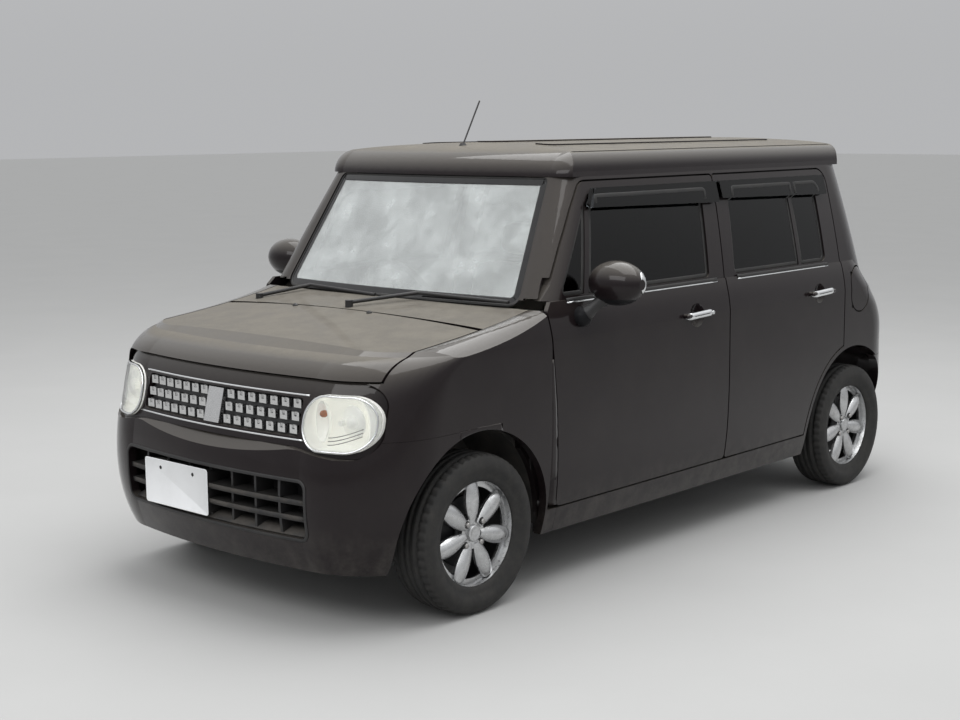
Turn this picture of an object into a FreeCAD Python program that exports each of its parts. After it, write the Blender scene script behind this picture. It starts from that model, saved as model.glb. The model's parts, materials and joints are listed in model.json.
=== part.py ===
import FreeCAD, Part
import functools
import math
import os

# A small boxy five-door hatchback, in millimetres.
# Origin: on the ground below the middle of its length. Front towards -Y, its left side towards +X, +Z up.

vector = FreeCAD.Vector
DOCUMENT = FreeCAD.newDocument("kei_car")
SHEET = DOCUMENT.addObject("Spreadsheet::Sheet", "sizes")

# Driving dimensions: alias, value, what it is.
SIZES = [
    ("body_length", 3395, "over both bumpers"),
    ("body_width", 1475, "over the door skins"),
    ("wheelbase", 2400, "front axle to rear axle"),
    ("front_overhang", 545, "front axle to the front bumper"),
    ("track", 1295, "between the wheels' centre planes"),
    ("tyre_radius", 265, "axle height, with the tyre loaded"),
    ("tyre_width", 165, "tyre section"),
    ("rim_radius", 186, "bead seat and flange root"),
    ("arch_radius", 342, "wheel opening in the body side"),
    ("housing_radius", 352, "wheel housing behind the skin"),
    ("skin", 30, "thickness of outer panels with their frames"),
    ("door_depth", 92, "door thickness with its trim"),
    ("pillar_depth", 46, "thickness of pillars and door frames"),
    ("roof_depth", 32, "roof with its lining"),
    ("glass", 5, "thickness of all panes"),
    ("shut_gap", 6.5, "gap round doors and lids"),
    ("seam_gap", 1.0, "gap between fixed panels"),
    ("seat_gap", 0.3, "between a piece and its seat"),
    ("sill_bottom", 190, "underside of the sills"),
    ("floor_top", 262, "carpet level"),
    ("crease_level", 863, "crease along the sides"),
    ("belt_level", 985, "top of the door panels"),
    ("drip_level", 1391, "top of the side frames"),
    ("lip_level", 797, "front lip of the bonnet"),
    ("mask_recess", 18, "front mask behind the panels round it"),
    ("ledge_rise", 58, "height of the bumper's bevel below the mask"),
    ("bonnet_rear", 635, "front face to the bonnet's rear edge"),
    ("bonnet_half", 640, "half width of the bonnet"),
    ("door_bottom", 283, "lower edge of the doors"),
    ("hinge_inset", 20, "door hinge axis below the skin"),
    ("hinge_setback", 60, "door hinge axis behind the leading edge"),
    ("flange", 16, "thickness of the doors' outer flange"),
    ("pin", 4, "radius of the hinge pins"),
    ("running_gap", 0.1, "between a pin and its bore"),
    ("moving_gap", 5.2, "room round what swings"),
    ("bonnet_setback", 50, "bonnet hinge axis ahead of the bonnet's rear edge"),
    ("bonnet_hinge_level", 880, "height of the bonnet hinge axis"),
    ("bonnet_skin", 12, "bonnet skin with its hem"),
    ("tail_inset", 12, "tailgate hinge axis below its skin and its top edge"),
    ("lid_inset", 13, "fuel lid hinge axis behind the widest line of the side and behind the lid's edge"),
    ("lid_skin", 3, "thickness of the fuel lid"),
    ("steer_axis", 575, "steering axis from the middle"),
    ("strut_inset", 48, "strut inboard of the steering axis"),
    ("strut_radius", 38, "spring strut with its cup"),
    ("steer_angle", 35, "turn of the front wheels each way"),
    ("firewall", -920, "front face of the firewall"),
]
for row, (alias, value, note) in enumerate(SIZES, start=1):
    SHEET.set(f"A{row}", alias)
    SHEET.set(f"B{row}", str(value))
    SHEET.set(f"C{row}", note)
    SHEET.setAlias(f"B{row}", alias)
DOCUMENT.recompute()


def size(alias):
    return float(SHEET.get(alias))


LENGTH = size("body_length")
HALF = size("body_width") / 2
FRONT = -LENGTH / 2
REAR = LENGTH / 2
FRONT_AXLE = FRONT + size("front_overhang")
REAR_AXLE = FRONT_AXLE + size("wheelbase")
AXLE_LEVEL = size("tyre_radius")
WHEEL_X = size("track") / 2
ARCH = size("arch_radius")
HOUSING = size("housing_radius")
SKIN = size("skin")
GAP = size("shut_gap")
SEAM = size("seam_gap")
SEAT = size("seat_gap")
CREASE = size("crease_level")
BELT = size("belt_level")
DRIP = size("drip_level")
LIP = size("lip_level")
SILL = size("sill_bottom")
FLOOR = size("floor_top")
DOOR_BOTTOM = size("door_bottom")
BONNET_HALF = size("bonnet_half")
BONNET_REAR = FRONT + size("bonnet_rear")
FIREWALL = size("firewall")
PIN = size("pin")
BORE = PIN + size("running_gap")
MOVING = size("moving_gap")
INNER_X = HALF - size("door_depth")
WIDE = HALF + 60

NODES = []


def node(label, shape):
    """One sub-part: a document object whose label names its file."""
    piece = DOCUMENT.addObject("Part::Feature", label)
    piece.Label = label
    piece.Shape = shape
    piece.Placement = shape.Placement
    NODES.append(piece)
    return piece


def both(shape):
    """A left-hand shape with its mirror image."""
    return Part.makeCompound([shape, mirrored(shape)])


def mirrored(shape):
    return shape.mirror(vector(0, 0, 0), vector(1, 0, 0))


def box(x0, x1, y0, y1, z0, z1):
    return Part.makeBox(x1 - x0, y1 - y0, z1 - z0, vector(x0, y0, z0))


def cylinder_x(radius, x0, x1, y, z):
    return Part.makeCylinder(radius, x1 - x0, vector(x0, y, z), vector(1, 0, 0))


def cylinder_z(radius, x, y, z0, z1):
    return Part.makeCylinder(radius, z1 - z0, vector(x, y, z0), vector(0, 0, 1))


def rod(start, end, radius):
    run = vector(*end) - vector(*start)
    return Part.makeCylinder(radius, run.Length, vector(*start), run)


def fused(shapes):
    first, *rest = shapes
    return first.fuse(rest).removeSplitter() if rest else first


def pieces(shape):
    """Solids of a shape, as one solid or a compound."""
    solids = [s for s in shape.Solids if s.Volume > 1000]
    return solids[0] if len(solids) == 1 else Part.makeCompound(solids)


def side_prism(points, x0, x1, rounding=0):
    """A polygon of (y, z) points swept across the car from x0 to x1, its corners rounded."""
    return prism([vector(x0, y, z) for y, z in points], vector(x1 - x0, 0, 0), rounding)


def front_prism(points, y0, y1, rounding=0):
    """A polygon of (x, z) points swept along the car from y0 to y1."""
    return prism([vector(x, y0, z) for x, z in points], vector(0, y1 - y0, 0), rounding)


def plan_prism(points, z0, z1, rounding=0):
    """A polygon of (x, y) points swept up from z0 to z1."""
    return prism([vector(x, y, z0) for x, y in points], vector(0, 0, z1 - z0), rounding)


def prism(corners, run, rounding):
    return Part.Face(rounded_wire(corners, rounding)).extrude(run)


def rounded_wire(corners, rounding):
    """Corners may carry radii of their own: rounding is a number or a list, one for each corner."""
    radii = rounding if isinstance(rounding, (list, tuple)) else [rounding] * len(corners)
    edges = []
    ends = []
    for index, corner in enumerate(corners):
        before = (corners[index - 1] - corner).normalize()
        after = (corners[(index + 1) % len(corners)] - corner).normalize()
        radius = radii[index]
        if radius <= 0:
            ends.append((corner, None, corner))
            continue
        half = before.getAngle(after) / 2
        reach = radius / math.tan(half)
        middle = (before + after).normalize()
        inner = corner + middle * (radius / math.sin(half) - radius)
        ends.append((corner + before * reach, inner, corner + after * reach))
    for index, (first, inner, last) in enumerate(ends):
        if inner is not None:
            edges.append(Part.Arc(first, inner, last).toShape())
        start = ends[(index + 1) % len(ends)][0]
        edges.append(Part.makeLine(last, start))
    return Part.Wire(edges)


def outline(level, half, front, rear, nose_x, nose_sag, nose_run, tail_x, tail_sag, tail_run, bow):
    """A closed plan outline at one level: arcs across nose and tail, round corners, bowed sides."""
    nose = [vector(nose_x, front + nose_sag, level), vector(half - bow, front + nose_run, level)]
    tail = [vector(half - bow, rear - tail_run, level), vector(tail_x, rear - tail_sag, level)]
    turn = math.sqrt(0.5)

    def corner(across, along):
        return vector(across.x + (along.x - across.x) * turn, along.y + (across.y - along.y) * turn, level)

    def other(point):
        return vector(-point.x, point.y, level)

    side = vector(half, (nose[1].y + tail[0].y) / 2, level)
    nose_turn = corner(nose[0], nose[1])
    tail_turn = corner(tail[1], tail[0])
    arcs = [
        (other(nose[0]), vector(0, front, level), nose[0]),
        (nose[0], nose_turn, nose[1]),
        (nose[1], side, tail[0]),
        (tail[0], tail_turn, tail[1]),
        (tail[1], vector(0, rear, level), other(tail[1])),
        (other(tail[1]), other(tail_turn), other(tail[0])),
        (other(tail[0]), other(side), other(nose[1])),
        (other(nose[1]), other(nose_turn), other(nose[0])),
    ]
    return Part.Wire([Part.Arc(*arc).toShape() for arc in arcs])


# Lower body by levels: height, inset of the sides, of the nose and of the tail.
LOWER_LEVELS = [
    (SILL, 47, 45, 70),
    (330, 15, 4, 8),
    (480, 3, 0, 0),
    (620, 0, 22, 8),
    (740, 0, 52, 25),
    (LIP, 0, 80, 62),
    (CREASE, 0, 190, 118),
]
SHOULDER_LEVELS = [
    (CREASE, 0, 190, 118),
    (925, 9, 330, 178),
    (BELT, 25, 480, 208),
]
# Tops of bonnet and fenders by stations: distance from the nose, height at the side,
# x and height of the shoulder, height at the bonnet's edge and in the middle.
TOP_STATIONS = [
    (-30, 772, 716, 815, 838, 860),
    (300, 800, 716, 850, 873, 894),
    (635, 832, 718, 888, 913, 936),
    (886, 880, 724, 940, 958, 966),
]
# Glasshouse by levels: height, half width, windscreen and tail positions.
GLASS_LEVELS = [
    (930, 716, -873, 1508, 603),
    (1170, 668, -732, 1466, 562),
    (DRIP, 611, -602, 1434, 525),
]
# Roof by levels: height, positions of its front and rear.
ROOF_LEVELS = [
    (DRIP, -604, 1440),
    (1430, -590, 1434),
    (1462, -556, 1416),
    (1488, -490, 1372),
    (1520, -330, 1262),
]
ROOF_HALF = 606


def lower_outline(level, side, nose, tail, inset):
    half = HALF - side - inset
    return outline(level, half, FRONT + nose + inset, REAR - tail - inset,
                   430, 32, 330, half - 255, 25, 285, 6)


def top_section(row, inset):
    distance, side, shoulder_x, shoulder, edge, middle = row
    y = FRONT + distance
    low = 100
    side, shoulder, edge, middle = [value - inset for value in (side, shoulder, edge, middle)]

    def at(x, z):
        return vector(x, y, z)

    return Part.Wire([
        Part.makeLine(at(-760, low), at(760, low)),
        Part.makeLine(at(760, low), at(760, side)),
        Part.Arc(at(760, side), at(shoulder_x - inset * 0.7, shoulder), at(BONNET_HALF, edge)).toShape(),
        Part.Arc(at(BONNET_HALF, edge), at(0, middle), at(-BONNET_HALF, edge)).toShape(),
        Part.Arc(at(-BONNET_HALF, edge), at(-shoulder_x + inset * 0.7, shoulder), at(-760, side)).toShape(),
        Part.makeLine(at(-760, side), at(-760, low)),
    ])


COWL_END = FRONT + TOP_STATIONS[-1][0]


@functools.lru_cache(maxsize=None)
def lower_form(inset=0):
    """The lower body as a solid, all its walls moved in by inset."""
    base = Part.makeLoft([lower_outline(*row, inset) for row in LOWER_LEVELS], True, False)
    shoulder = Part.makeLoft([lower_outline(*row, inset) for row in SHOULDER_LEVELS], True, False)
    form = base.fuse(shoulder)
    top = Part.makeLoft([top_section(row, inset) for row in TOP_STATIONS], True, False)
    front = form.common(top)
    back = form.common(box(-800, 800, COWL_END, REAR + 50, 0, 1200))
    return front.fuse(back)


def glass_outline(level, half, front, rear, screen_x, inset):
    half = half - inset
    return outline(level, half, front + inset, rear - inset,
                   screen_x - inset * 0.6, 41, 41 + 85, half - 235, 20, 255, 5)


@functools.lru_cache(maxsize=None)
def glass_form(inset=0):
    """The glasshouse as a solid from below the belt to the drip line."""
    return Part.makeLoft([glass_outline(*row, inset) for row in GLASS_LEVELS], True, False)


@functools.lru_cache(maxsize=None)
def roof_form(inset=0):
    plan = Part.makeLoft([
        outline(level, ROOF_HALF + 30, front + inset, rear - inset, 525, 41, 126, ROOF_HALF - 235, 20, 255, 5)
        for level, front, rear in ROOF_LEVELS], True, False)
    side = ROOF_HALF - inset
    low = DRIP - 1
    across = [(-side, low), (side, low)]

    def at(x, z):
        return vector(x, -800, z)

    wire = Part.Wire([
        Part.makeLine(at(*across[0]), at(*across[1])),
        Part.makeLine(at(side, low), at(side - 3, 1408)),
        Part.Arc(at(side - 3, 1408), at(side - 18, 1452 - inset), at(side - 62, 1477 - inset)).toShape(),
        Part.Arc(at(side - 62, 1477 - inset), at(0, 1505 - inset), at(62 - side, 1477 - inset)).toShape(),
        Part.Arc(at(62 - side, 1477 - inset), at(18 - side, 1452 - inset), at(3 - side, 1408)).toShape(),
        Part.makeLine(at(3 - side, 1408), at(-side, low)),
    ])
    section = Part.Face(wire).extrude(vector(0, 2400, 0))
    return plan.common(section)


# Forms shared by the panels.
DOOR_FLANGE = size("flange")
FRAME_FLANGE = 24
LOWER = lower_form()
LOWER_INNER = lower_form(SKIN)
GLASSHOUSE = glass_form()
LOWER_SHELL = LOWER.cut(LOWER_INNER)
OUTSIDE = LOWER.fuse(GLASSHOUSE)
FLANGE_CORE = lower_form(DOOR_FLANGE).fuse(glass_form(FRAME_FLANGE))
REBATE_CORE = lower_form(DOOR_FLANGE + 5).fuse(glass_form(FRAME_FLANGE + 5))
CABIN = box(-INNER_X, INNER_X, FIREWALL + 25, 1640, FLOOR, BELT).common(LOWER_INNER)
CABIN = CABIN.fuse(glass_form(size("pillar_depth")))
WALLS = OUTSIDE.cut(CABIN)

# Door outlines in side view: (y, z) corners and their rounding.
FRONT_DOOR = [
    (-757, DOOR_BOTTOM, 22), (-775, 657, 0), (-795, 845, 0), (-806, 956, 14), (-735, 1036, 0), (-661, 1152, 0),
    (-574, 1281, 0), (-505, 1374, 50), (300, 1374, 14), (262, 960, 0), (268, DOOR_BOTTOM, 14),
]
REAR_DOOR = [
    (268 + GAP, DOOR_BOTTOM, 14), (262 + GAP, 960, 0), (300 + GAP, 1374, 14), (1152, 1374, 60),
    (1152, 500, 0), (1052, DOOR_BOTTOM, 0),
]
FRONT_WINDOW = [
    (-712, 996, 18), (-694, 1036, 10), (-640, 1113, 0), (-548, 1246, 0), (-484, 1332, 30), (212, 1332, 20),
    (170, 996, 20),
]
REAR_WINDOW = [(340, 996, 20), (386, 1332, 20), (1046, 1332, 45), (1040, 996, 30)]
FRONT_BAR = [(-589, 980), (-486, 1345), (-462, 1345), (-565, 980)]
REAR_BAR = [(828, 980), (828, 1345), (848, 1345), (848, 980)]


def side_space(grow):
    """Everything outboard of the doors' inner faces."""
    return front_prism([(INNER_X - 2 - grow, 200), (INNER_X - 2 - grow, 940), (556 - grow, DRIP + 2), (WIDE, DRIP + 2),
                        (WIDE, 200)], -900, REAR)


HINGE_LAND = size("hinge_setback") + 12


@functools.lru_cache(maxsize=None)
def door_space(name, grow, trailing):
    """Door prism within its side space; trailing is the radius of its cut round the rear arch."""
    solid = door_face(DOOR_ROWS[name], grow).common(side_space(max(grow, 0)))
    if trailing:
        solid = solid.cut(cylinder_x(trailing, 430, WIDE + 60, REAR_AXLE, AXLE_LEVEL))
    return solid


def door_face(outline_rows, grow):
    """A door outline as a prism across the left side, grown or shrunk all round."""
    points = [(y, z) for y, z, radius in outline_rows]
    radii = [radius for y, z, radius in outline_rows]
    solid = side_prism(points, 430, WIDE + 60, radii)
    if grow:
        face = [f for f in solid.Faces if abs(f.CenterOfMass.x - 430) < 1e-6][0]
        solid = face.makeOffset2D(grow).extrude(vector(WIDE + 60 - 430, 0, 0))
    return solid


def hinge_axis(front_edge):
    return HALF - size("hinge_inset"), front_edge + size("hinge_setback")


HINGES = {"front": hinge_axis(-795), "rear": hinge_axis(262 + GAP)}
HINGE_LEVELS = (480, 800)
DOOR_ROWS = {"front": FRONT_DOOR, "rear": REAR_DOOR}
ARCH_EDGE = ARCH + 34


def door(name, window_rows, bar, trailing):
    """A door with a thin flange all round, a thick middle, its window and the bar across it."""
    panel = WALLS.common(door_space(name, 0, trailing))
    flange = panel.cut(FLANGE_CORE)
    middle = door_space(name, -HINGE_LAND, trailing + HINGE_LAND if trailing else 0)
    panel = flange.fuse(panel.common(middle))
    window = door_face(window_rows, 0)
    panel = panel.cut(window)
    post = glass_form(4).cut(glass_form(20)).common(side_prism(bar, 430, WIDE)).common(window)
    panel = panel.fuse(post)
    axis_x, axis_y = HINGES[name]
    for level in HINGE_LEVELS:
        panel = panel.cut(box(axis_x - 60, axis_x + 8, axis_y - 66, axis_y + 8, level - 6, level + 16))
        barrel = cylinder_z(7, axis_x, axis_y, level + 10 + SEAT, level + 44)
        web = box(axis_x - 7, axis_x + 7, axis_y, axis_y + 14, level + 10 + SEAT, level + 44)
        bore = cylinder_z(BORE, axis_x, axis_y, level, level + 46 + MOVING)
        panel = panel.fuse([barrel, web]).cut(bore)
    return panel.cut(handle_cup(name)).fuse(handle(name))


HANDLES = {"front": (45, 868), "rear": (945, 874)}
CUP_RADIUS = 48
HANDLE_HALF = 82
HANDLE_OUT = 24


def handle(name):
    """A bar that bridges a round cup in the door skin, on a foot at each end."""
    y, z = HANDLES[name]
    skin_x = HALF - 1
    bar = rod((skin_x + HANDLE_OUT - 9, y - HANDLE_HALF, z), (skin_x + HANDLE_OUT - 9, y + HANDLE_HALF, z), 9)
    ends = [Part.makeSphere(9, vector(skin_x + HANDLE_OUT - 9, y + end, z)) for end in (-HANDLE_HALF, HANDLE_HALF)]
    feet = [cylinder_x(8, skin_x - 6, skin_x + HANDLE_OUT - 9, y + end, z) for end in (-HANDLE_HALF, HANDLE_HALF)]
    return fused([bar] + ends + feet)


def handle_cup(name):
    y, z = HANDLES[name]
    radius = 70
    return Part.makeSphere(radius, vector(HALF + math.sqrt(radius ** 2 - CUP_RADIUS ** 2), y, z))


def hinge_brackets(name):
    """Plates that stand out from the pillar to the hinge axis, each with its pin."""
    axis_x, axis_y = HINGES[name]
    parts = [box(INNER_X, INNER_X + 12, axis_y - 14, axis_y + 5, FLOOR + 160, 900)]
    for level in HINGE_LEVELS:
        parts.append(box(INNER_X + 4, axis_x, axis_y - 6, axis_y + 5, level, level + 10))
        parts.append(cylinder_z(6, axis_x, axis_y, level, level + 10))
        parts.append(cylinder_z(PIN, axis_x, axis_y, level, level + 46))
    return fused(parts)


def pane(window_rows, bar):
    """Side glass behind the frame line, parted by the bar."""
    opening = door_face(window_rows, -SEAT)
    sheet = glass_form(8).cut(glass_form(8 + size("glass"))).common(opening)
    wide_bar = side_prism(bar, 430, WIDE)
    face = [f for f in wide_bar.Faces if abs(f.CenterOfMass.x - 430) < 1e-6][0]
    return sheet.cut(face.makeOffset2D(SEAT).extrude(vector(WIDE - 430, 0, 0)))


def visor(y0, y1, lean):
    """A smoked visor over a window: a shell open at the bottom."""
    low = 1272
    high = 1352
    outer = [(y0, low + 14), (y0 + lean, high), (y1, high), (y1, low)]
    inner = [(y0 + 3, low - 30), (y0 + lean + 3, high - 4), (y1 - 3, high - 4), (y1 - 3, low - 30)]
    block = glass_form(-22).cut(glass_form(-SEAT)).common(side_prism(outer, 430, WIDE, 8))
    return block.cut(glass_form(-19).common(side_prism(inner, 430, WIDE, 6)))


# Body side, left.
TAILGATE_REAR = [(-528, 568), (-548, 900), (-540, 985), (-500, 1384.5), (500, 1384.5), (540, 985), (548, 900),
                 (528, 568)]
TAILGATE_ROUND = [30, 0, 0, 40, 40, 0, 0, 30]
TAIL_Y0 = 1300


def tailgate_prism(grow):
    solid = front_prism(TAILGATE_REAR, TAIL_Y0, REAR + 60, TAILGATE_ROUND)
    if grow:
        face = [f for f in solid.Faces if abs(f.CenterOfMass.y - TAIL_Y0) < 1e-6][0]
        solid = face.makeOffset2D(grow).extrude(vector(0, REAR + 60 - TAIL_Y0, 0))
    return solid


SCREEN = [(-592, 962), (-521, 1389), (521, 1389), (592, 962)]
SCREEN_PRISM = front_prism(SCREEN, -1000, -450, [40, 24, 24, 40])
REAR_HOUSING = cylinder_x(HOUSING, 500, WIDE, REAR_AXLE, AXLE_LEVEL).fuse(
    box(500, WIDE, REAR_AXLE - HOUSING, REAR_AXLE + HOUSING, 0, AXLE_LEVEL))
FRONT_HOUSING = cylinder_x(HOUSING, 400, WIDE, FRONT_AXLE, AXLE_LEVEL).fuse(
    box(400, WIDE, FRONT_AXLE - HOUSING, FRONT_AXLE + HOUSING, 0, AXLE_LEVEL))
FRONT_OPENING = cylinder_x(ARCH, 400, WIDE, FRONT_AXLE, AXLE_LEVEL).fuse(
    box(400, WIDE, FRONT_AXLE - ARCH, FRONT_AXLE + ARCH, 0, AXLE_LEVEL))
REAR_OPENING = cylinder_x(ARCH, 500, WIDE, REAR_AXLE, AXLE_LEVEL).fuse(
    box(500, WIDE, REAR_AXLE - ARCH, REAR_AXLE + ARCH, 0, AXLE_LEVEL))
SEAM_Y = -812
PILLAR_FOOT = 958
BUMPER_TOP = 555
SEAM_TOP = 618


HINGE_RADIUS = math.hypot(size("hinge_inset"), size("hinge_setback")) + MOVING
EDGE_RADIUS = HINGE_RADIUS + 9


def hinge_pocket(axis):
    """Room for a door's leading flange to swing in; it widens where the door's edge runs forward."""
    low = cylinder_z(HINGE_RADIUS, axis[0], axis[1], DOOR_BOTTOM - GAP, CREASE)
    rise = PILLAR_FOOT - CREASE
    high = Part.makeCone(HINGE_RADIUS, EDGE_RADIUS, rise, vector(axis[0], axis[1], CREASE), vector(0, 0, 1))
    return low.fuse([high, cylinder_z(EDGE_RADIUS, axis[0], axis[1], PILLAR_FOOT, 1060)])


FENDER_BACK = -752
FUEL_AT = (1290, 860)
FUEL_HALF = (74, 94)


def fuel_prism(grow):
    """Oval of the fuel lid across the left quarter."""
    wide, tall = FUEL_HALF[0] + grow, FUEL_HALF[1] + grow
    y, z = FUEL_AT
    return side_prism([(y - wide, z - tall), (y - wide, z + tall), (y + wide, z + tall), (y + wide, z - tall)],
                      HALF - 120, WIDE, wide - 4)


# Where each door's leading frame swings, the pillars have no rebate behind it.
SWING_ROOM = {
    "front": [(-850, 935), (-700, 935), (-650, 1036), (-570, 1152), (-490, 1281), (-560, 1300), (-850, 1100)],
    "rear": [(240, 935), (345, 935), (386, 1330), (280, 1330)],
}
CENTRE_POST = glass_form(size("pillar_depth") - 6).cut(glass_form(size("pillar_depth") + 26)).common(
    side_prism([(200, 940), (266, 940), (302, DRIP), (236, DRIP)], 430, WIDE))


def body_side():
    """Left side: sill, pillars, quarter, wheelhouse and hinge post, with rebates for the doors."""
    zone = fused([
        box(INNER_X, WIDE, SEAM_Y, REAR + 20, SILL, BELT),
        box(430, WIDE, SEAM_Y, REAR + 20, PILLAR_FOOT, DRIP),
        box(430, WIDE, REAR_AXLE, REAR + 20, BUMPER_TOP, DRIP),
    ]).common(WALLS)
    zone = zone.cut(box(INNER_X - 1, WIDE, SEAM_Y - 10, FENDER_BACK + SEAM, SILL - 10, PILLAR_FOOT + SEAM))
    hinge_post = LOWER_INNER.common(box(INNER_X, HALF - SKIN - 40, -890, FENDER_BACK + 10, SILL, 930))
    zone = zone.fuse(hinge_post)
    for name, trailing in (("front", 0), ("rear", ARCH_EDGE)):
        outer = door_space(name, GAP, trailing - GAP if trailing else 0)
        inner = door_space(name, GAP - HINGE_LAND, trailing + HINGE_LAND - GAP if trailing else 0)
        zone = zone.cut(outer.cut(REBATE_CORE)).cut(inner)
    zone = zone.cut(SCREEN_PRISM).cut(tailgate_prism(GAP)).cut(tail_prism(SEAM))
    zone = zone.cut(box(0, WIDE, REAR_AXLE + 100, REAR + 20, 0, BUMPER_TOP))
    wheelhouse = cylinder_x(HOUSING + 14, 486, HALF - 60, REAR_AXLE, AXLE_LEVEL).common(
        box(430, WIDE, REAR_AXLE - HOUSING - 20, REAR_AXLE + HOUSING + 20, AXLE_LEVEL + 30, 900))
    wheelhouse = wheelhouse.common(LOWER_INNER)
    zone = zone.fuse(wheelhouse)
    zone = zone.cut(REAR_HOUSING).cut(FRONT_HOUSING)
    for name in HINGES:
        room = side_prism(SWING_ROOM[name], 430, WIDE).common(door_face(DOOR_ROWS[name], GAP))
        zone = zone.cut(room).cut(hinge_pocket(HINGES[name])).fuse(hinge_brackets(name))
    return zone.fuse(CENTRE_POST)


def tail_prism(grow):
    return front_prism([(585 - grow, 640 - grow), (585 - grow, 790 + grow), (690 + grow, 790 + grow),
                        (690 + grow, 640 - grow)], REAR - 260, REAR + 60, 34)


FRONT_WEDGE = box(600, WIDE, -1000, -700, PILLAR_FOOT - 40, 1000).common(
    side_prism([(-870, PILLAR_FOOT), (-812, PILLAR_FOOT), (-745, 992), (-870, 992)], 604, WIDE))
LEFT_SIDE = body_side().cut(FRONT_WEDGE)
node("body_side_right", pieces(mirrored(LEFT_SIDE)))
LID_AXIS = (HALF - size("lid_inset"), FUEL_AT[0] - FUEL_HALF[0] + size("lid_inset"))
LID_PIN = 2.5
LID_BARREL = 4
lid_x, lid_y = LID_AXIS
lid_level = FUEL_AT[1] - 10
fuel_recess = fuel_prism(GAP).cut(lower_form(SKIN - 6))
lid_swing = cylinder_z(2 * LID_BARREL + MOVING, lid_x, lid_y, FUEL_AT[1] - 78, FUEL_AT[1] + 78)
left_side = LEFT_SIDE.cut(fuel_recess).cut(lid_swing)
ears = [box(HALF - SKIN, lid_x, lid_y - 0.5, lid_y + 4, z, z + 4) for z in (lid_level - 18, lid_level + 14)]
ears += [cylinder_z(LID_BARREL, lid_x, lid_y, z, z + 4) for z in (lid_level - 18, lid_level + 14)]
ears.append(cylinder_z(LID_PIN, lid_x, lid_y, lid_level - 18, lid_level + 18))
node("body_side_left", pieces(left_side.fuse(ears)))
fuel_lid = LOWER.cut(lower_form(size("lid_skin"))).common(fuel_prism(0))
lid_arm = [cylinder_z(LID_BARREL, lid_x, lid_y, lid_level - 14 + SEAT, lid_level + 14 - SEAT),
           box(lid_x - LID_BARREL + 1, HALF - 1, lid_y, lid_y + 8, lid_level - 14 + SEAT, lid_level + 14 - SEAT)]
lid_arm = fused(lid_arm).cut(cylinder_z(LID_PIN + size("running_gap"), lid_x, lid_y, lid_level - 20, lid_level + 20))
node("fuel_lid", pieces(fuel_lid.fuse(lid_arm.common(LOWER))))

# Doors with their glass and visors.
DOOR_SETS = [
    # name, window, bar, radius round the rear arch, visor front, visor rear, visor lean
    ("front", FRONT_WINDOW, FRONT_BAR, 0, -512, 292, 62),
    ("rear", REAR_WINDOW, REAR_BAR, ARCH_EDGE, 316, 1105, 0),
]
for place, window_rows, bar, trailing, visor_front, visor_rear, lean in DOOR_SETS:
    panel = pieces(door(place, window_rows, bar, trailing))
    glazing = fused([pane(window_rows, bar)])
    shade = visor(visor_front, visor_rear, lean)
    glazing = Part.makeCompound([s for s in glazing.Solids + shade.Solids if s.Volume > 500])
    for side, turn in (("left", lambda shape: shape), ("right", mirrored)):
        node(f"door_{place}_{side}", turn(panel))
        node(f"window_{place}_{side}", turn(glazing))

# Roof with three ribs.
ROOF = roof_form().cut(roof_form(size("roof_depth")))
RIBS = roof_form(-5).common(Part.makeCompound([
    plan_prism([(x - 42, -330), (x + 42, -330), (x + 42, 1180), (x - 42, 1180)], 1440, 1540, 30)
    for x in (-290, 0, 290)]))
ROOF = ROOF.fuse(RIBS.cut(roof_form(size("roof_depth"))))
DITCH_X = ROOF_HALF - 58
ditches = both(plan_prism([(DITCH_X - 6, -470), (DITCH_X + 6, -470), (DITCH_X + 6, 1300), (DITCH_X - 6, 1300)],
                          1440, 1540, 5))
ROOF = ROOF.cut(ditches.cut(roof_form(5)))
TAIL_TOP = 1384.5
TAIL_AXIS = (1436.5 - size("tail_inset"), TAIL_TOP - size("tail_inset"))
TAIL_BRACKETS = (-236, 236)
tail_y, tail_z = TAIL_AXIS
swing = math.hypot(size("tail_inset"), size("tail_inset")) + MOVING
ROOF = ROOF.cut(cylinder_x(swing, -520, 520, tail_y, tail_z))
roof_parts = [ROOF]
for x in TAIL_BRACKETS:
    roof_parts.append(box(x - 6, x + 6, tail_y - 45, tail_y, tail_z - 8, tail_z + 1))
    roof_parts.append(cylinder_x(6, x - 6, x + 6, tail_y, tail_z))
    roof_parts.append(box(x - 6, x + 6, tail_y - 45, tail_y - 33, tail_z - 8, tail_z + 44))
    roof_parts.append(box(x - 6, x + 6, tail_y - 45, tail_y - 10, tail_z + 24, tail_z + 44))
    roof_parts.append(cylinder_x(PIN, x - 44, x + 44, tail_y, tail_z))
node("roof", pieces(fused(roof_parts)))

# Windscreen.
screen = glass_form(8).cut(glass_form(8 + size("glass"))).common(SCREEN_PRISM)
node("windscreen", pieces(screen))

# Tailgate and its glass.
TAIL_WINDOW = front_prism([(-470, 1010), (-448, 1340), (448, 1340), (470, 1010)], TAIL_Y0, REAR + 60,
                          [50, 50, 50, 50])
tail_walls = LOWER.cut(lower_form(34)).fuse(GLASSHOUSE.cut(glass_form(34)))
tailgate = tail_walls.common(tailgate_prism(0)).common(box(-700, 700, TAIL_Y0, REAR + 20, 560, DRIP))
tailgate = tailgate.cut(glass_form(34)).cut(lower_form(34))
tailgate = tailgate.cut(TAIL_WINDOW)
for x in TAIL_BRACKETS:
    tailgate = tailgate.cut(box(x - 12, x + 12, tail_y - 60, tail_y + 7, tail_z - 14, tail_z + 40))
    tailgate = tailgate.cut(cylinder_x(BORE, x - 46, x + 46, tail_y, tail_z))
node("tailgate", pieces(tailgate))
tail_pane = glass_form(8).cut(glass_form(8 + size("glass"))).common(
    front_prism([(-469.7, 1010.3), (-447.7, 1339.7), (447.7, 1339.7), (469.7, 1010.3)], TAIL_Y0, REAR + 60,
                [50, 50, 50, 50]))
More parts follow.
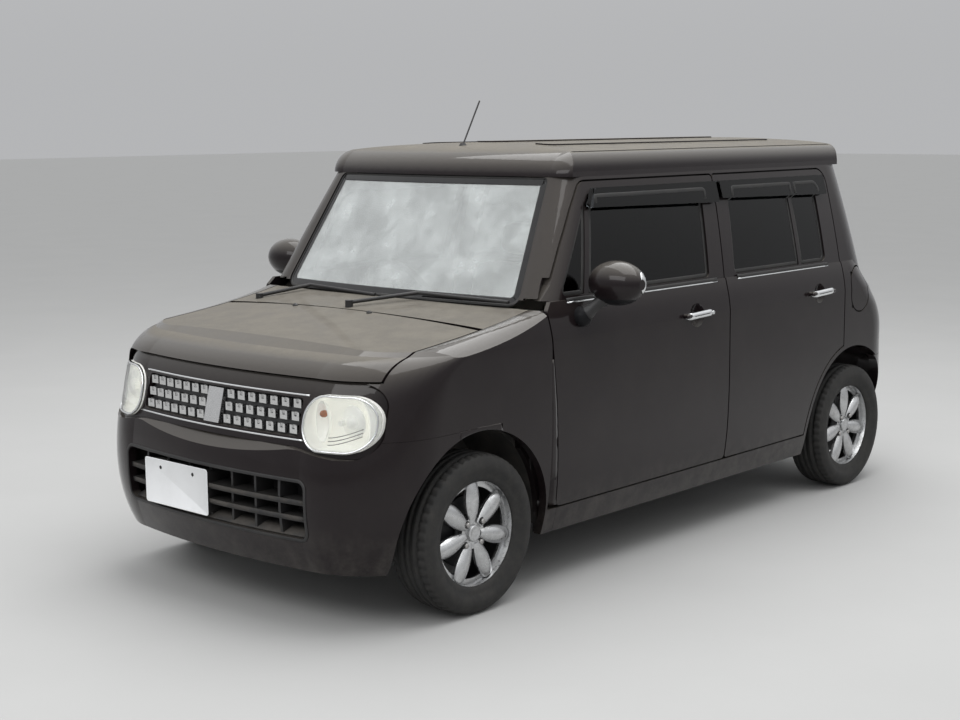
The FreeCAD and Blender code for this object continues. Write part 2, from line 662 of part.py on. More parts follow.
node("tailgate_glass", pieces(tail_pane))

# Front end: mask with its openings, bonnet, fenders, bumpers.
MASK_HALF = 668
MASK_TOP = LIP - GAP / 2
MASK_EAR = 566
MASK_LOW = 588
RECESS = size("mask_recess")
EAR_X = 545
MASK = [(-MASK_HALF, MASK_EAR), (-MASK_HALF, MASK_TOP), (MASK_HALF, MASK_TOP), (MASK_HALF, MASK_EAR),
        (EAR_X, MASK_EAR), (EAR_X - 170, MASK_LOW), (170 - EAR_X, MASK_LOW), (-EAR_X, MASK_EAR)]
MASK_Y0 = FRONT - 60
MASK_Y1 = FRONT + 330


def mask_prism(grow):
    points = [(x + math.copysign(grow, x), z + (grow if z > 700 else -grow)) for x, z in MASK]
    return front_prism(points, MASK_Y0, MASK_Y1, [78, 78, 78, 78, 60, 120, 120, 60])


GRILLE_HALF = 394
GRILLE_ROUND = 12
GRILLE = front_prism([(-GRILLE_HALF, 618), (-GRILLE_HALF, 737), (GRILLE_HALF, 737), (GRILLE_HALF, 618)],
                     MASK_Y0, MASK_Y1, GRILLE_ROUND)
LAMP_X = 532
LAMP_LEVEL = 669
LAMP_HALF = (120, 88)


def lamp_prism(grow):
    wide, tall = LAMP_HALF[0] + grow, LAMP_HALF[1] + grow
    return front_prism([(LAMP_X - wide, LAMP_LEVEL - tall), (LAMP_X - wide, LAMP_LEVEL + tall),
                        (LAMP_X + wide, LAMP_LEVEL + tall), (LAMP_X + wide, LAMP_LEVEL - tall)],
                       MASK_Y0, MASK_Y1, 80 + grow)


def mask_wire(grow_side, grow_low, y):
    """The mask's outline in a plane across the car, grown outwards at its sides and downwards."""
    corners = [vector(x + math.copysign(grow_side, x), y, z if z > 700 else z - grow_low) for x, z in MASK]
    return rounded_wire(corners, [60, 60, 78, 78, 60, 120, 120, 60])


# The mask stands back, and the panels round it are bevelled towards it: deep below, slight at the sides.
BEVEL = Part.makeLoft([mask_wire(12, size("ledge_rise"), FRONT - 10),
                       mask_wire(SEAM, SEAM, FRONT + RECESS + 26)], True, True)
BEVEL = BEVEL.fuse(Part.makeLoft([mask_wire(SEAM, SEAM, FRONT + RECESS + 26), mask_wire(SEAM, SEAM, MASK_Y1)],
                                 True, True))
mask = lower_form(RECESS).cut(lower_form(RECESS + SKIN)).common(mask_prism(0))
mask = mask.cut(GRILLE).cut(both(lamp_prism(0)))
node("front_mask", pieces(mask))

BONNET_AXIS = (BONNET_REAR - size("bonnet_setback"), size("bonnet_hinge_level"))
hinge_y, hinge_z = BONNET_AXIS
BONNET_SWING = math.hypot(size("bonnet_setback"), 936 - hinge_z)
BONNET_HINGE_X = (596, 626)
bonnet_zone = box(-BONNET_HALF + GAP / 2, BONNET_HALF - GAP / 2, FRONT - 20, BONNET_REAR, LIP + GAP / 2, 1100)
bonnet_frame = box(-BONNET_HALF + 52, BONNET_HALF - 52, FRONT - 20, BONNET_REAR - 90, LIP + GAP / 2, 1100)
bonnet = LOWER.cut(lower_form(size("bonnet_skin"))).common(bonnet_zone)
bonnet = bonnet.fuse(LOWER_SHELL.common(bonnet_frame))
low_x, high_x = BONNET_HINGE_X
lug = cylinder_x(9, low_x - 14, low_x + 14, hinge_y, hinge_z).fuse(
    box(low_x - 14, low_x + 14, hinge_y - 9, hinge_y + 9, hinge_z, hinge_z + 24).common(LOWER))
bonnet = bonnet.fuse([lug, mirrored(lug)])
bonnet = bonnet.cut(both(cylinder_x(BORE, low_x - 20, high_x, hinge_y, hinge_z)))
node("bonnet", pieces(bonnet))

fender_zone = fused([
    box(BONNET_HALF + GAP / 2, WIDE, FRONT - 20, -700, SEAM_TOP, 1100),
    box(560, WIDE, FRONT - 20, -900, 700, MASK_TOP),
    box(605, WIDE, FRONT - 20, -900, SEAM_TOP, MASK_TOP),
    box(HALF - SKIN - 50, WIDE, FRONT_AXLE + 100, FENDER_BACK, SILL, LIP),
])
fender = LOWER_SHELL.common(fender_zone).cut(BEVEL).cut(mask_prism(SEAM)).cut(FRONT_OPENING)
fender = fender.cut(box(0, BONNET_HALF + GAP / 2, FRONT - 20, SEAM_Y, MASK_TOP, 1100))
fender = fender.cut(box(0, WIDE, SEAM_Y, -600, PILLAR_FOOT, 1100)).cut(FRONT_WEDGE)
fender = fender.cut(box(0, WIDE, FENDER_BACK, -600, 0, 1100)).cut(door_face(FRONT_DOOR, GAP))
fender = fender.cut(hinge_pocket(HINGES["front"]))
bonnet_bracket = [
    box(high_x, BONNET_HALF + GAP / 2 + 20, hinge_y - 14, hinge_y + 14, hinge_z - 30, hinge_z - 18),
    box(high_x, high_x + 8, hinge_y - 8, hinge_y + 8, hinge_z - 30, hinge_z),
    cylinder_x(8, high_x, high_x + 8, hinge_y, hinge_z),
    cylinder_x(PIN, low_x - 18, high_x + 8, hinge_y, hinge_z),
    box(BONNET_HALF + GAP / 2 + 8, BONNET_HALF + GAP / 2 + 20, hinge_y - 14, hinge_y + 14, hinge_z - 30, hinge_z + 4),
]
fender = fender.fuse(fused(bonnet_bracket))
node("front_fenders", both(pieces(fender)))

cowl = LOWER_SHELL.common(box(-BONNET_HALF, BONNET_HALF, BONNET_REAR + GAP, -700, 860, 1100))
cowl = cowl.cut(glass_form(-2)).cut(box(-900, 900, SEAM_Y, 0, 0, 1200))
cowl = cowl.cut(cylinder_x(BONNET_SWING + MOVING, -700, 700, hinge_y, hinge_z))
node("cowl", pieces(cowl))

INTAKE_HALF = 452
INTAKE_LOW = 303
INTAKE_HIGH = 482
INTAKE_ROUND = 26
INTAKE = front_prism([(-INTAKE_HALF, INTAKE_LOW), (-INTAKE_HALF, INTAKE_HIGH), (INTAKE_HALF, INTAKE_HIGH),
                      (INTAKE_HALF, INTAKE_LOW)], MASK_Y0, MASK_Y1, INTAKE_ROUND)
bumper_zone = fused([
    box(-WIDE, WIDE, FRONT - 20, FRONT_AXLE - 100, SILL, 600),
    box(600, WIDE, FRONT - 20, FRONT_AXLE - 100, 500, SEAM_TOP - SEAM),
    box(-WIDE, -600, FRONT - 20, FRONT_AXLE - 100, 500, SEAM_TOP - SEAM),
])
front_bumper = LOWER_SHELL.common(bumper_zone).cut(BEVEL).cut(mask_prism(SEAM)).cut(INTAKE)
front_bumper = front_bumper.cut(both(FRONT_OPENING))
front_bumper = front_bumper.cut(box(-560, 560, FRONT_AXLE - 300, FRONT_AXLE, 0, 1000))
node("front_bumper", pieces(front_bumper))
rear_bumper = LOWER_SHELL.common(box(-WIDE, WIDE, REAR_AXLE + 101, REAR + 20, SILL, BUMPER_TOP - SEAM))
rear_bumper = rear_bumper.cut(both(REAR_OPENING)).cut(box(-560, 560, REAR_AXLE, REAR - 200, 0, 1000))
node("rear_bumper", pieces(rear_bumper))


# Grille: three rows of notched blocks each side of a plain plate, on thin bars.
GRILLE_ROWS = 3
GRILLE_COLUMNS = 7
PLATE_HALF = 38
BLOCK_WIDE = 34
BLOCK_TALL = 27


def face_y(x, z):
    """Front face of the lower body near its middle, at a given x and height."""
    for (low, _, low_nose, _), (high, _, high_nose, _) in zip(LOWER_LEVELS, LOWER_LEVELS[1:]):
        if low <= z <= high:
            nose = low_nose + (high_nose - low_nose) * (z - low) / (high - low)
            return FRONT + RECESS + nose + 32 * (x / 430) ** 2
    return FRONT


def arc_band(half, inset, depth, z0, z1):
    """A band across the nose that follows its curve and its lean."""
    sag = face_y(half, 400) - face_y(0, 400)
    wires = []
    for z in (z0, z1):
        front = face_y(0, z) + inset
        left, middle, right = vector(-half, front + sag, z), vector(0, front, z), vector(half, front + sag, z)
        back = vector(0, depth, 0)
        wires.append(Part.Wire([
            Part.Arc(left, middle, right).toShape(),
            Part.makeLine(right, right + back),
            Part.Arc(right + back, middle + back, left + back).toShape(),
            Part.makeLine(left + back, left),
        ]))
    return Part.makeLoft(wires, True, True)


def grille():
    """Three rows of notched blocks on a band that leans with the nose."""
    low = 618 + SEAT
    high = 737 - SEAT
    pitch_z = (high - low) / GRILLE_ROWS
    pitch_x = (GRILLE_HALF - PLATE_HALF - 8) / GRILLE_COLUMNS
    blocks = []
    for row in range(GRILLE_ROWS):
        z = low + (row + 0.5) * pitch_z
        for column in range(GRILLE_COLUMNS):
            x = PLATE_HALF + 6 + pitch_x * (column + 0.5)
            y = face_y(x, z) + 4
            block = box(x - BLOCK_WIDE / 2, x + BLOCK_WIDE / 2, y, y + 22, z - BLOCK_TALL / 2, z + BLOCK_TALL / 2)
            notch = box(x - 7, x + 7, y - 1, y + 7, z, z + BLOCK_TALL / 2 + 1)
            block = block.cut(notch)
            blocks.extend([block, mirrored(block)])
    return arc_band(GRILLE_HALF - GRILLE_ROUND - SEAT, 18, 14, low, high).fuse(blocks)


plate = side_prism([(face_y(0, 622) - 3, 622), (face_y(0, 733) - 3, 733), (face_y(0, 733) + 26, 733),
                    (face_y(0, 622) + 26, 622)], -PLATE_HALF, PLATE_HALF)
node("grille", pieces(grille().fuse(plate)))

# Lower grille: two broad slats with upright bars in a deep frame.
intake_half = INTAKE_HALF - SEAT
intake_low = INTAKE_LOW + SEAT
intake_high = INTAKE_HIGH - SEAT
slats = [box(-intake_half, intake_half, FRONT + 10, FRONT + 110, z, z + 16) for z in (356, 408)]
bars = [box(x - 5, x + 5, FRONT + 30, FRONT + 110, intake_low, intake_high)
        for x in (-340, -225, -110, 0, 110, 225, 340)]
back_panel = box(-intake_half, intake_half, FRONT + 104, FRONT + 112, intake_low, intake_high)
shelf_half = intake_half - INTAKE_ROUND
shelf = box(-shelf_half, shelf_half, FRONT + 24, FRONT + 110, intake_low, intake_low + 5)
lower_grille = fused(slats + bars + [back_panel, shelf]).common(lower_form(12))
node("lower_grille", pieces(lower_grille))

# Headlamps: bowl with a bulb, and a clear lens flush with the mask.
LENS_OUT = 6
lamp_body = lower_form(LENS_OUT + 7).common(lamp_prism(-1)).common(box(0, WIDE, FRONT, FRONT + 250, 500, 900))
bowl = Part.makeSphere(150, vector(LAMP_X, FRONT + 40, LAMP_LEVEL)).common(lamp_prism(-9))
bulb = fused([rod((LAMP_X, FRONT + 196, LAMP_LEVEL), (LAMP_X, FRONT + 120, LAMP_LEVEL), 9)])
lamp_body = lamp_body.cut(bowl).fuse(bulb)
node("headlamps", both(pieces(lamp_body)))
lens = lower_form(LENS_OUT).cut(lower_form(LENS_OUT + 6)).common(lamp_prism(-1))
node("headlamp_lenses", both(pieces(lens)))

# Wipers, antenna.
WIPERS = [
    # pivot, elbow, tip of the blade
    ((-540, -990, 940), (-422, -838, 976), (-50, -860, 966)),
    ((-5, -1030, 956), (159, -852, 986), (560, -822, 978)),
]
wiper_rods = []
for pivot, elbow, tip in WIPERS:
    wiper_rods.append(rod(pivot, elbow, 7))
    wiper_rods.append(Part.makeSphere(7, vector(*elbow)))
    wiper_rods.append(rod(elbow, tip, 6))
    wiper_rods.append(cylinder_z(14, pivot[0], pivot[1], pivot[2] - 30, pivot[2] + 8))
wipers = fused(wiper_rods).cut(lower_form(-SEAT))
node("wipers", pieces(wipers))
ANTENNA = (0, -437)
antenna = fused([
    Part.makeCone(24, 9, 26, vector(ANTENNA[0], ANTENNA[1], 1478), vector(0, 0, 1)),
    rod((ANTENNA[0], ANTENNA[1], 1496), (ANTENNA[0], ANTENNA[1] + 95, 1660), 3),
]).cut(roof_form(-SEAT))
node("antenna", pieces(antenna))

# Tail lamps.
tail_lamp = LOWER_SHELL.common(tail_prism(0))
node("tail_lamps", both(pieces(tail_lamp)))

# Floor with firewall, rails and front frame.
floor = side_prism([(FIREWALL, 222), (880, 222), (1000, 400), (1640, 400), (1640, 436), (974, 436), (862, FLOOR),
                    (FIREWALL, FLOOR)], -INNER_X + SEAT, INNER_X - SEAT)
firewall = box(-INNER_X + SEAT, INNER_X - SEAT, FIREWALL, FIREWALL + 25, 222, 905)
floor = floor.fuse(firewall)
rear_housings = both(cylinder_x(HOUSING + 15, 485, WIDE, REAR_AXLE, AXLE_LEVEL))
floor = floor.cut(rear_housings)
FRAME_Y = FRONT + 116
rails = [box(x, x + 55, FRAME_Y, FIREWALL, 400, 490) for x in (330, -385)]
cross = box(-560, 560, FRAME_Y, FRAME_Y + 34, 400, 490)
support = box(-380, 380, FRONT + 170, FRONT + 190, 222, 560).cut(box(-300, 300, FRONT, FRONT + 300, 300, 520))
STEER_X = size("steer_axis")
STRUT_X = STEER_X - size("strut_inset")
STRUT_SWEEP = 2 * size("strut_inset") * math.sin(math.radians(size("steer_angle")) / 2)
STRUT_ROOM = size("strut_radius") + STRUT_SWEEP + MOVING
liner = cylinder_x(HOUSING + 14, 386, INNER_X - SEAT, FRONT_AXLE, AXLE_LEVEL).common(
    box(386, WIDE, FRONT_AXLE - HOUSING - 20, FRONT_AXLE + HOUSING + 20, 230, 900))
tower = cylinder_z(STRUT_ROOM + 14, STRUT_X, FRONT_AXLE, 500, 700)
front_room = FRONT_HOUSING.fuse(cylinder_z(STRUT_ROOM, STRUT_X, FRONT_AXLE, 400, 686))
floor = fused([floor] + rails + [cross, support])
floor = fused([floor, both(liner.fuse(tower))]).common(lower_form(34)).cut(both(front_room))
node("floor_pan", pieces(floor))

# Front suspension: subframe with lower arms.
subframe = box(-300, 300, FRONT_AXLE - 40, FRONT_AXLE + 120, 165, 205)
arms = [plan_prism([(s * 290, FRONT_AXLE - 30), (s * 290, FRONT_AXLE + 110), (s * (STEER_X + 18), FRONT_AXLE + 14),
                    (s * (STEER_X + 18), FRONT_AXLE - 14)], 168, 184) for s in (1, -1)]
struts_up = [box(x0, x1, FRONT_AXLE - 20, FRONT_AXLE + 20, 205, 400 - SEAT) for x0, x1 in ((340, 375), (-375, -340))]
links = [box(x0, x1, FRONT_AXLE - 20, FRONT_AXLE + 20, 165, 205) for x0, x1 in ((290, 375), (-375, -290))]
node("front_suspension", fused([subframe] + arms + struts_up + links))


def knuckle(side):
    y = FRONT_AXLE
    x = STEER_X
    parts = [
        cylinder_z(18, x, y, 184 + SEAT, 240),
        box(x - 14, x + 14, y - 30, y + 30, 225, 320),
        cylinder_x(32, x, WHEEL_X - 12, y, AXLE_LEVEL),
        box(x - 60, x, y - 16, y + 16, 290, 330),
        cylinder_z(24, STRUT_X, y, 290, 560),
        cylinder_z(size("strut_radius"), STRUT_X, y, 560, 640),
    ]
    shape = fused(parts)
    return shape if side > 0 else mirrored(shape)


node("knuckle_left", knuckle(1))
node("knuckle_right", knuckle(-1))

# Rear axle: a beam with trailing arms and spindles.
beam = [
    rod((-500, REAR_AXLE - 60, 255), (500, REAR_AXLE - 60, 255), 30),
]
for s in (1, -1):
    beam.append(box(min(s * 425, s * 475), max(s * 425, s * 475), REAR_AXLE - 300, REAR_AXLE + 30, 230, 280))
    beam.append(cylinder_x(26, min(s * 440, s * (WHEEL_X - 12)), max(s * 440, s * (WHEEL_X - 12)), REAR_AXLE,
                           AXLE_LEVEL))
    beam.append(box(min(s * 425, s * 475), max(s * 425, s * 475), REAR_AXLE - 299.5, REAR_AXLE - 240, 280, 322.4))
node("rear_axle", fused(beam))

# Engine, exhaust, tank.
node("engine_block", box(-330 + SEAT, 330 - SEAT, FRONT_AXLE - 300, FRONT_AXLE + 110, 230, 720))
exhaust = fused([
    rod((150, FRONT_AXLE + 140, 175), (150, 760, 175), 22),
    rod((150, 760, 175), (150, REAR_AXLE + 120, 205), 22),
    box(-180, 260, REAR_AXLE + 110, REAR_AXLE + 260, 185, 300),
    rod((-140, REAR_AXLE + 240, 205), (-140, REAR - 120, 164), 20),
    rod((-140, REAR - 120, 164), (-140, REAR - 25, 164), 20),
    box(138, 162, -4, 4, 185, 222 - SEAT),
    box(30, 54, REAR_AXLE + 180, REAR_AXLE + 188, 290, 400 - SEAT),
])
node("exhaust", exhaust)
node("fuel_tank", box(-380, 90, 380, 840, 160, 222 - SEAT))

# Wheels.
TYRE_R = size("tyre_radius")
RIM_R = size("rim_radius")
TYRE_HALF = size("tyre_width") / 2
BEAD = TYRE_HALF - 19


def tyre():
    """A tyre: profile with round shoulders turned about the axle."""
    def at(r, a):
        return vector(a, 0, r)

    wire = Part.Wire([
        Part.makeLine(at(RIM_R, -BEAD), at(RIM_R, BEAD)),
        Part.makeLine(at(RIM_R, BEAD), at(RIM_R + 10, BEAD)),
        Part.Arc(at(RIM_R + 10, BEAD), at(222, TYRE_HALF), at(250, TYRE_HALF - 9)).toShape(),
        Part.Arc(at(250, TYRE_HALF - 9), at(261, TYRE_HALF - 17), at(TYRE_R, TYRE_HALF - 32)).toShape(),
        Part.makeLine(at(TYRE_R, TYRE_HALF - 32), at(TYRE_R, 32 - TYRE_HALF)),
        Part.Arc(at(TYRE_R, 32 - TYRE_HALF), at(261, 17 - TYRE_HALF), at(250, 9 - TYRE_HALF)).toShape(),
        Part.Arc(at(250, 9 - TYRE_HALF), at(222, -TYRE_HALF), at(RIM_R + 10, -BEAD)).toShape(),
        Part.makeLine(at(RIM_R + 10, -BEAD), at(RIM_R, -BEAD)),
    ])
    return Part.Face(wire).revolve(vector(0, 0, 0), vector(1, 0, 0), 360)


SPOKES = 7
FACE = 60


def petal():
    """One convex spoke along +Z, lofted through sections: radius, width, rise."""
    sections = []
    for radius, width, rise in ((36, 26, 6), (78, 52, 14), (128, 60, 16), (168, 40, 8)):
        ends = (vector(0, -width / 2, radius), vector(rise, 0, radius), vector(0, width / 2, radius))
        sections.append(Part.Wire([Part.Arc(*ends).toShape(), Part.makeLine(ends[2], vector(-10, width / 2, radius)),
                                   Part.makeLine(vector(-10, width / 2, radius), vector(-10, -width / 2, radius)),
                                   Part.makeLine(vector(-10, -width / 2, radius), ends[0])]))
    return Part.makeLoft(sections, True, False)


def rim():
    """Barrel, flange, petal spokes, brake disc and hub of a left wheel."""
    def at(r, a):
        return vector(a, 0, r)

    edge = BEAD + SEAT
    wire = Part.makePolygon([at(RIM_R - SEAT, -edge), at(RIM_R + 8, -edge), at(RIM_R + 8, -edge - 5),
                             at(RIM_R - 10, -edge - 5), at(RIM_R - 14, 0), at(RIM_R - 14, FACE - 18),
                             at(RIM_R - 8, FACE), at(RIM_R + 2, edge + 5), at(RIM_R + 8, edge + 4),
                             at(RIM_R + 8, edge), at(RIM_R - SEAT, edge), at(RIM_R - SEAT, -edge)])
    barrel = Part.Face(wire).revolve(vector(0, 0, 0), vector(1, 0, 0), 360)
    hub = Part.makeCylinder(52, FACE - 8, vector(-10, 0, 0), vector(1, 0, 0))
    cap = Part.makeCylinder(28, 6, vector(FACE - 18, 0, 0), vector(1, 0, 0))
    dish = Part.makeCylinder(RIM_R - 12, 6, vector(FACE - 30, 0, 0), vector(1, 0, 0)).cut(
        Part.makeCylinder(RIM_R - 34, 6, vector(FACE - 30, 0, 0), vector(1, 0, 0)))
    spokes = []
    for index in range(SPOKES):
        spoke = petal()
        spoke.translate(vector(FACE - 18, 0, 0))
        spoke.rotate(vector(0, 0, 0), vector(1, 0, 0), 360 * index / SPOKES)
        spokes.append(spoke)
    disc = Part.makeCylinder(118, 14, vector(-11.7, 0, 0), vector(1, 0, 0))
    return fused([barrel, hub, dish, disc] + spokes + [cap])


def placed(shape, x, y, z):
    copy = shape.copy()
    copy.Placement = FreeCAD.Placement(vector(x, y, z), FreeCAD.Rotation())
    return copy


LEFT_RIM = rim()
RIGHT_RIM = mirrored(LEFT_RIM)
TYRE = tyre()
for end, y in (("front", FRONT_AXLE), ("rear", REAR_AXLE)):
    for side, sign, wheel in (("left", 1, LEFT_RIM), ("right", -1, RIGHT_RIM)):
        node(f"tyre_{end}_{side}", placed(TYRE, sign * WHEEL_X, y, AXLE_LEVEL))
        node(f"rim_{end}_{side}", placed(wheel, sign * WHEEL_X, y, AXLE_LEVEL))

# Mirrors: round heads on stalks from round feet on the doors' front corners.
MIRROR_AT = vector(832, -577, 1041)
MIRROR_HALF = 108
MIRROR_RADIUS = 76
FOOT_RADIUS = 34


def turned(edges):
    """A closed profile in the XY plane turned about the X axis."""
    return Part.Face(Part.Wire(edges)).revolve(vector(0, 0, 0), vector(1, 0, 0), 360)


def mirror_head():
    """An ellipse turned about its long axis, with small flat ends."""
    cut = math.radians(12)
    ellipse = Part.Ellipse(vector(MIRROR_HALF, 0, 0), vector(0, MIRROR_RADIUS, 0), vector(0, 0, 0))
    end_x = MIRROR_HALF * math.cos(cut)
    end_y = MIRROR_RADIUS * math.sin(cut)
    head = turned([
        Part.makeLine(vector(end_x, 0, 0), vector(end_x, end_y, 0)),
        Part.ArcOfEllipse(ellipse, cut, math.pi - cut).toShape(),
        Part.makeLine(vector(-end_x, end_y, 0), vector(-end_x, 0, 0)),
        Part.makeLine(vector(-end_x, 0, 0), vector(end_x, 0, 0)),
    ])
    head.translate(MIRROR_AT)
    return head


def mirror_foot():
    """A round foot with a domed end that stands out of the door skin."""
    straight = 36
    nose = 66
    flat = 12
    foot = turned([
        Part.makeLine(vector(0, 0, 0), vector(0, FOOT_RADIUS, 0)),
        Part.makeLine(vector(0, FOOT_RADIUS, 0), vector(straight, FOOT_RADIUS, 0)),
        Part.Arc(vector(straight, FOOT_RADIUS, 0), vector(57, 26, 0), vector(nose, flat, 0)).toShape(),
        Part.makeLine(vector(nose, flat, 0), vector(nose, 0, 0)),
        Part.makeLine(vector(nose, 0, 0), vector(0, 0, 0)),
    ])
    foot.translate(vector(700, -640, 925))
    return foot


stalk = rod((742, -636, 940), (802, -592, 995), 17)
mirror_shape = fused([mirror_head(), stalk, mirror_foot()]).cut(lower_form(-SEAT)).cut(glass_form(-SEAT))
node("mirror_left", pieces(mirror_shape))
node("mirror_right", pieces(mirrored(mirror_shape)))

# Cabin: dashboard, steering wheel, seats.
dash = side_prism([(-880, 600), (-800, 900), (-700, 935), (-560, 900), (-540, 800), (-600, 620)],
                  -INNER_X + SEAT, INNER_X - SEAT, [20, 30, 40, 40, 30, 30]).cut(glass_form(0).cut(glass_form(60)))
WHEEL_AT = vector(-340, -420, 880)
TILT = 62
HUB_DEPTH = 20
column = vector(0, math.sin(math.radians(TILT)), math.cos(math.radians(TILT)))
dash = dash.fuse(rod(WHEEL_AT - column * 190, WHEEL_AT - column * (HUB_DEPTH + SEAT), 24))
node("dashboard", pieces(dash))
ring = fused([Part.makeTorus(178, 14), Part.makeCylinder(60, 36, vector(0, 0, -HUB_DEPTH)), box(-172, 172, -14, 14, -8, 8),
              box(-14, 14, -172, 0, -8, 8)])
ring.rotate(vector(0, 0, 0), vector(1, 0, 0), -TILT)
ring.translate(WHEEL_AT)
node("steering_wheel", ring)


def seat(x, y, width):
    base = side_prism([(y - 250, FLOOR + SEAT), (y - 260, 520), (y + 250, 480), (y + 250, FLOOR + SEAT)],
                      x - width / 2, x + width / 2, [30, 70, 20, 20])
    back = side_prism([(y + 140, 470), (y + 290, 470), (y + 400, 1000), (y + 300, 1000)], x - width / 2,
                      x + width / 2, [30, 30, 40, 40])
    return base.fuse(back)


def headrest(x, y, z):
    return side_prism([(y - 45, z - 30), (y - 35, z + 150), (y + 45, z + 150), (y + 45, z - 30)], x - 120, x + 120,
                      [10, 40, 40, 10])


front_seats = []
for s in (1, -1):
    front_seats.append(fused([seat(s * 320, -40, 500), headrest(s * 320, 325, 1010)]))
rear_base = side_prism([(560, FLOOR + SEAT), (540, 560), (1000, 520), (1000, 437), (972, 437), (858, FLOOR + SEAT)],
                       -600, 600, [10, 60, 10, 5, 5, 5])
rear_back = side_prism([(900, 500), (1030, 500), (1130, 960), (1040, 960)], -600, 600, [20, 20, 40, 40])
rear_seat = fused([rear_base, rear_back] + [headrest(s * 300, 1095, 970) for s in (1, -1)])
rear_seat = rear_seat.cut(both(box(455, 700, 860, 1300, 200, 1000)))
node("front_seats", Part.makeCompound(front_seats))
node("rear_seat", rear_seat)

DOCUMENT.recompute()
for piece in NODES:
    faults = {"Invalid", "Error"} & set(piece.State)
    if faults or piece.Shape.isNull() or not piece.Shape.isValid():
        raise RuntimeError(f"{piece.Label} is not sound: {sorted(faults)}")

os.makedirs("parts", exist_ok=True)
for piece in NODES:
    piece.Shape.exportStep(f"parts/{piece.Label}.step")
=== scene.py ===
import bpy
import bmesh
import json
import math
from mathutils import Matrix, Vector
from mathutils.bvhtree import BVHTree
from mathutils.geometry import convex_hull_2d


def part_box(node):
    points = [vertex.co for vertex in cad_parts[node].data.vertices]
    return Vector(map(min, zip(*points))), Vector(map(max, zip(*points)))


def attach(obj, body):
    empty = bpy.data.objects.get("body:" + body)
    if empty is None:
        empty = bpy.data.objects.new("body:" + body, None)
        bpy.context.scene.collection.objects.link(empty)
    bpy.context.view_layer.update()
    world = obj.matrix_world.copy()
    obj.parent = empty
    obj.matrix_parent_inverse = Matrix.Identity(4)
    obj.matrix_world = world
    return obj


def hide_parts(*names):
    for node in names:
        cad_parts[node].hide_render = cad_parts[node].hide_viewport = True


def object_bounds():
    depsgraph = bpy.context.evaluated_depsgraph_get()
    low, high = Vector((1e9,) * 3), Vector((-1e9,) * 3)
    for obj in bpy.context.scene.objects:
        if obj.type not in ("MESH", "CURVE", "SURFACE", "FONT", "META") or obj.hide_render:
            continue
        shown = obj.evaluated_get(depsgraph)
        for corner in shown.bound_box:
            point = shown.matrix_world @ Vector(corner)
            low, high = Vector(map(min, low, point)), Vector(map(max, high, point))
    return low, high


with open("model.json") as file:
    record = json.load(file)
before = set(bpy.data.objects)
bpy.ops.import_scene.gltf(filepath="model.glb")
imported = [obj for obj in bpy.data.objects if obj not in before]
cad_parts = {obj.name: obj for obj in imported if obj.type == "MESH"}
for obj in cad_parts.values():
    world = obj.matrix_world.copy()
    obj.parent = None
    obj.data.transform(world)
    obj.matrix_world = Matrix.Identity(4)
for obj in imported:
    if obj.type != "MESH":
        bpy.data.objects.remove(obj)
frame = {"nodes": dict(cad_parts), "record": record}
CAD_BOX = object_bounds()

# Places and sizes, in metres, in the frame's own axes: front towards -Y, its left side towards +X.
NODES = frame["nodes"]
LOW = Vector(CAD_BOX[0])
SIDES = (("left", 1), ("right", -1))
ENDS = ("front", "rear")
BACKWARD = Vector((0, 1, 0))

# How far out the rays start that find a surface: beside or above the car, and before or behind it.
OUTSIDE = 2.0
AHEAD = 3.0

# The grille's teeth: their front leans back and bows with the nose.
FRONT = -1.6975
GRILLE_FRONT = FRONT + 0.040
GRILLE_FOOT = 0.62
GRILLE_LEAN = 0.25
GRILLE_BOW = 0.173
GRILLE_TOOTH = 0.0115
GRILLE_TOP_LINE = 0.746
GRILLE_LOW_LINE = 0.609
GRILLE_LINE_HALF = 0.415
GRILLE_LINE_SECTION = (0.0055, 0.003)

# Lamps.
LAMP_X = 0.532
LAMP_LEVEL = 0.669
LAMP_RING_INSET = 0.004
LAMP_RING_RADIUS = 0.0032
INDICATOR_PLACE = (LAMP_X - 0.074, -1.585, LAMP_LEVEL - 0.002)
INDICATOR_HALF = (0.027, 0.066)
INDICATOR_BOWL = ((0.000, 1.0), (0.002, 0.93), (0.014, 0.80), (0.026, 0.55), (0.030, 0.30), (0.034, 0.30),
                  (0.018, 0.84), (0.004, 1.02))
INDICATOR_BULB = ((0.0, 0.0095), (-0.008, 0.0115), (-0.016, 0.0105), (-0.021, 0.0065), (-0.023, 0.0008))
BULB_PLACE = (LAMP_X + 0.028, -1.545, LAMP_LEVEL + 0.004)
BULB_SHIELD = ((0.0, 0.021), (-0.010, 0.0215), (-0.018, 0.0185), (-0.022, 0.010), (-0.023, 0.001))
BULB_RING = ((0.0, 0.050), (0.003, 0.052), (0.006, 0.048), (0.012, 0.030), (0.030, 0.022))
FLUTE_START = (LAMP_X - 0.012, LAMP_LEVEL - 0.062)
FLUTE_LENGTH = 0.095
FLUTE_RISE = 0.030
FLUTE_LEVELS = (0.0, 0.011, 0.022)
FLUTE_RADIUS = 0.0012
LENS_THICKNESS = 0.0045

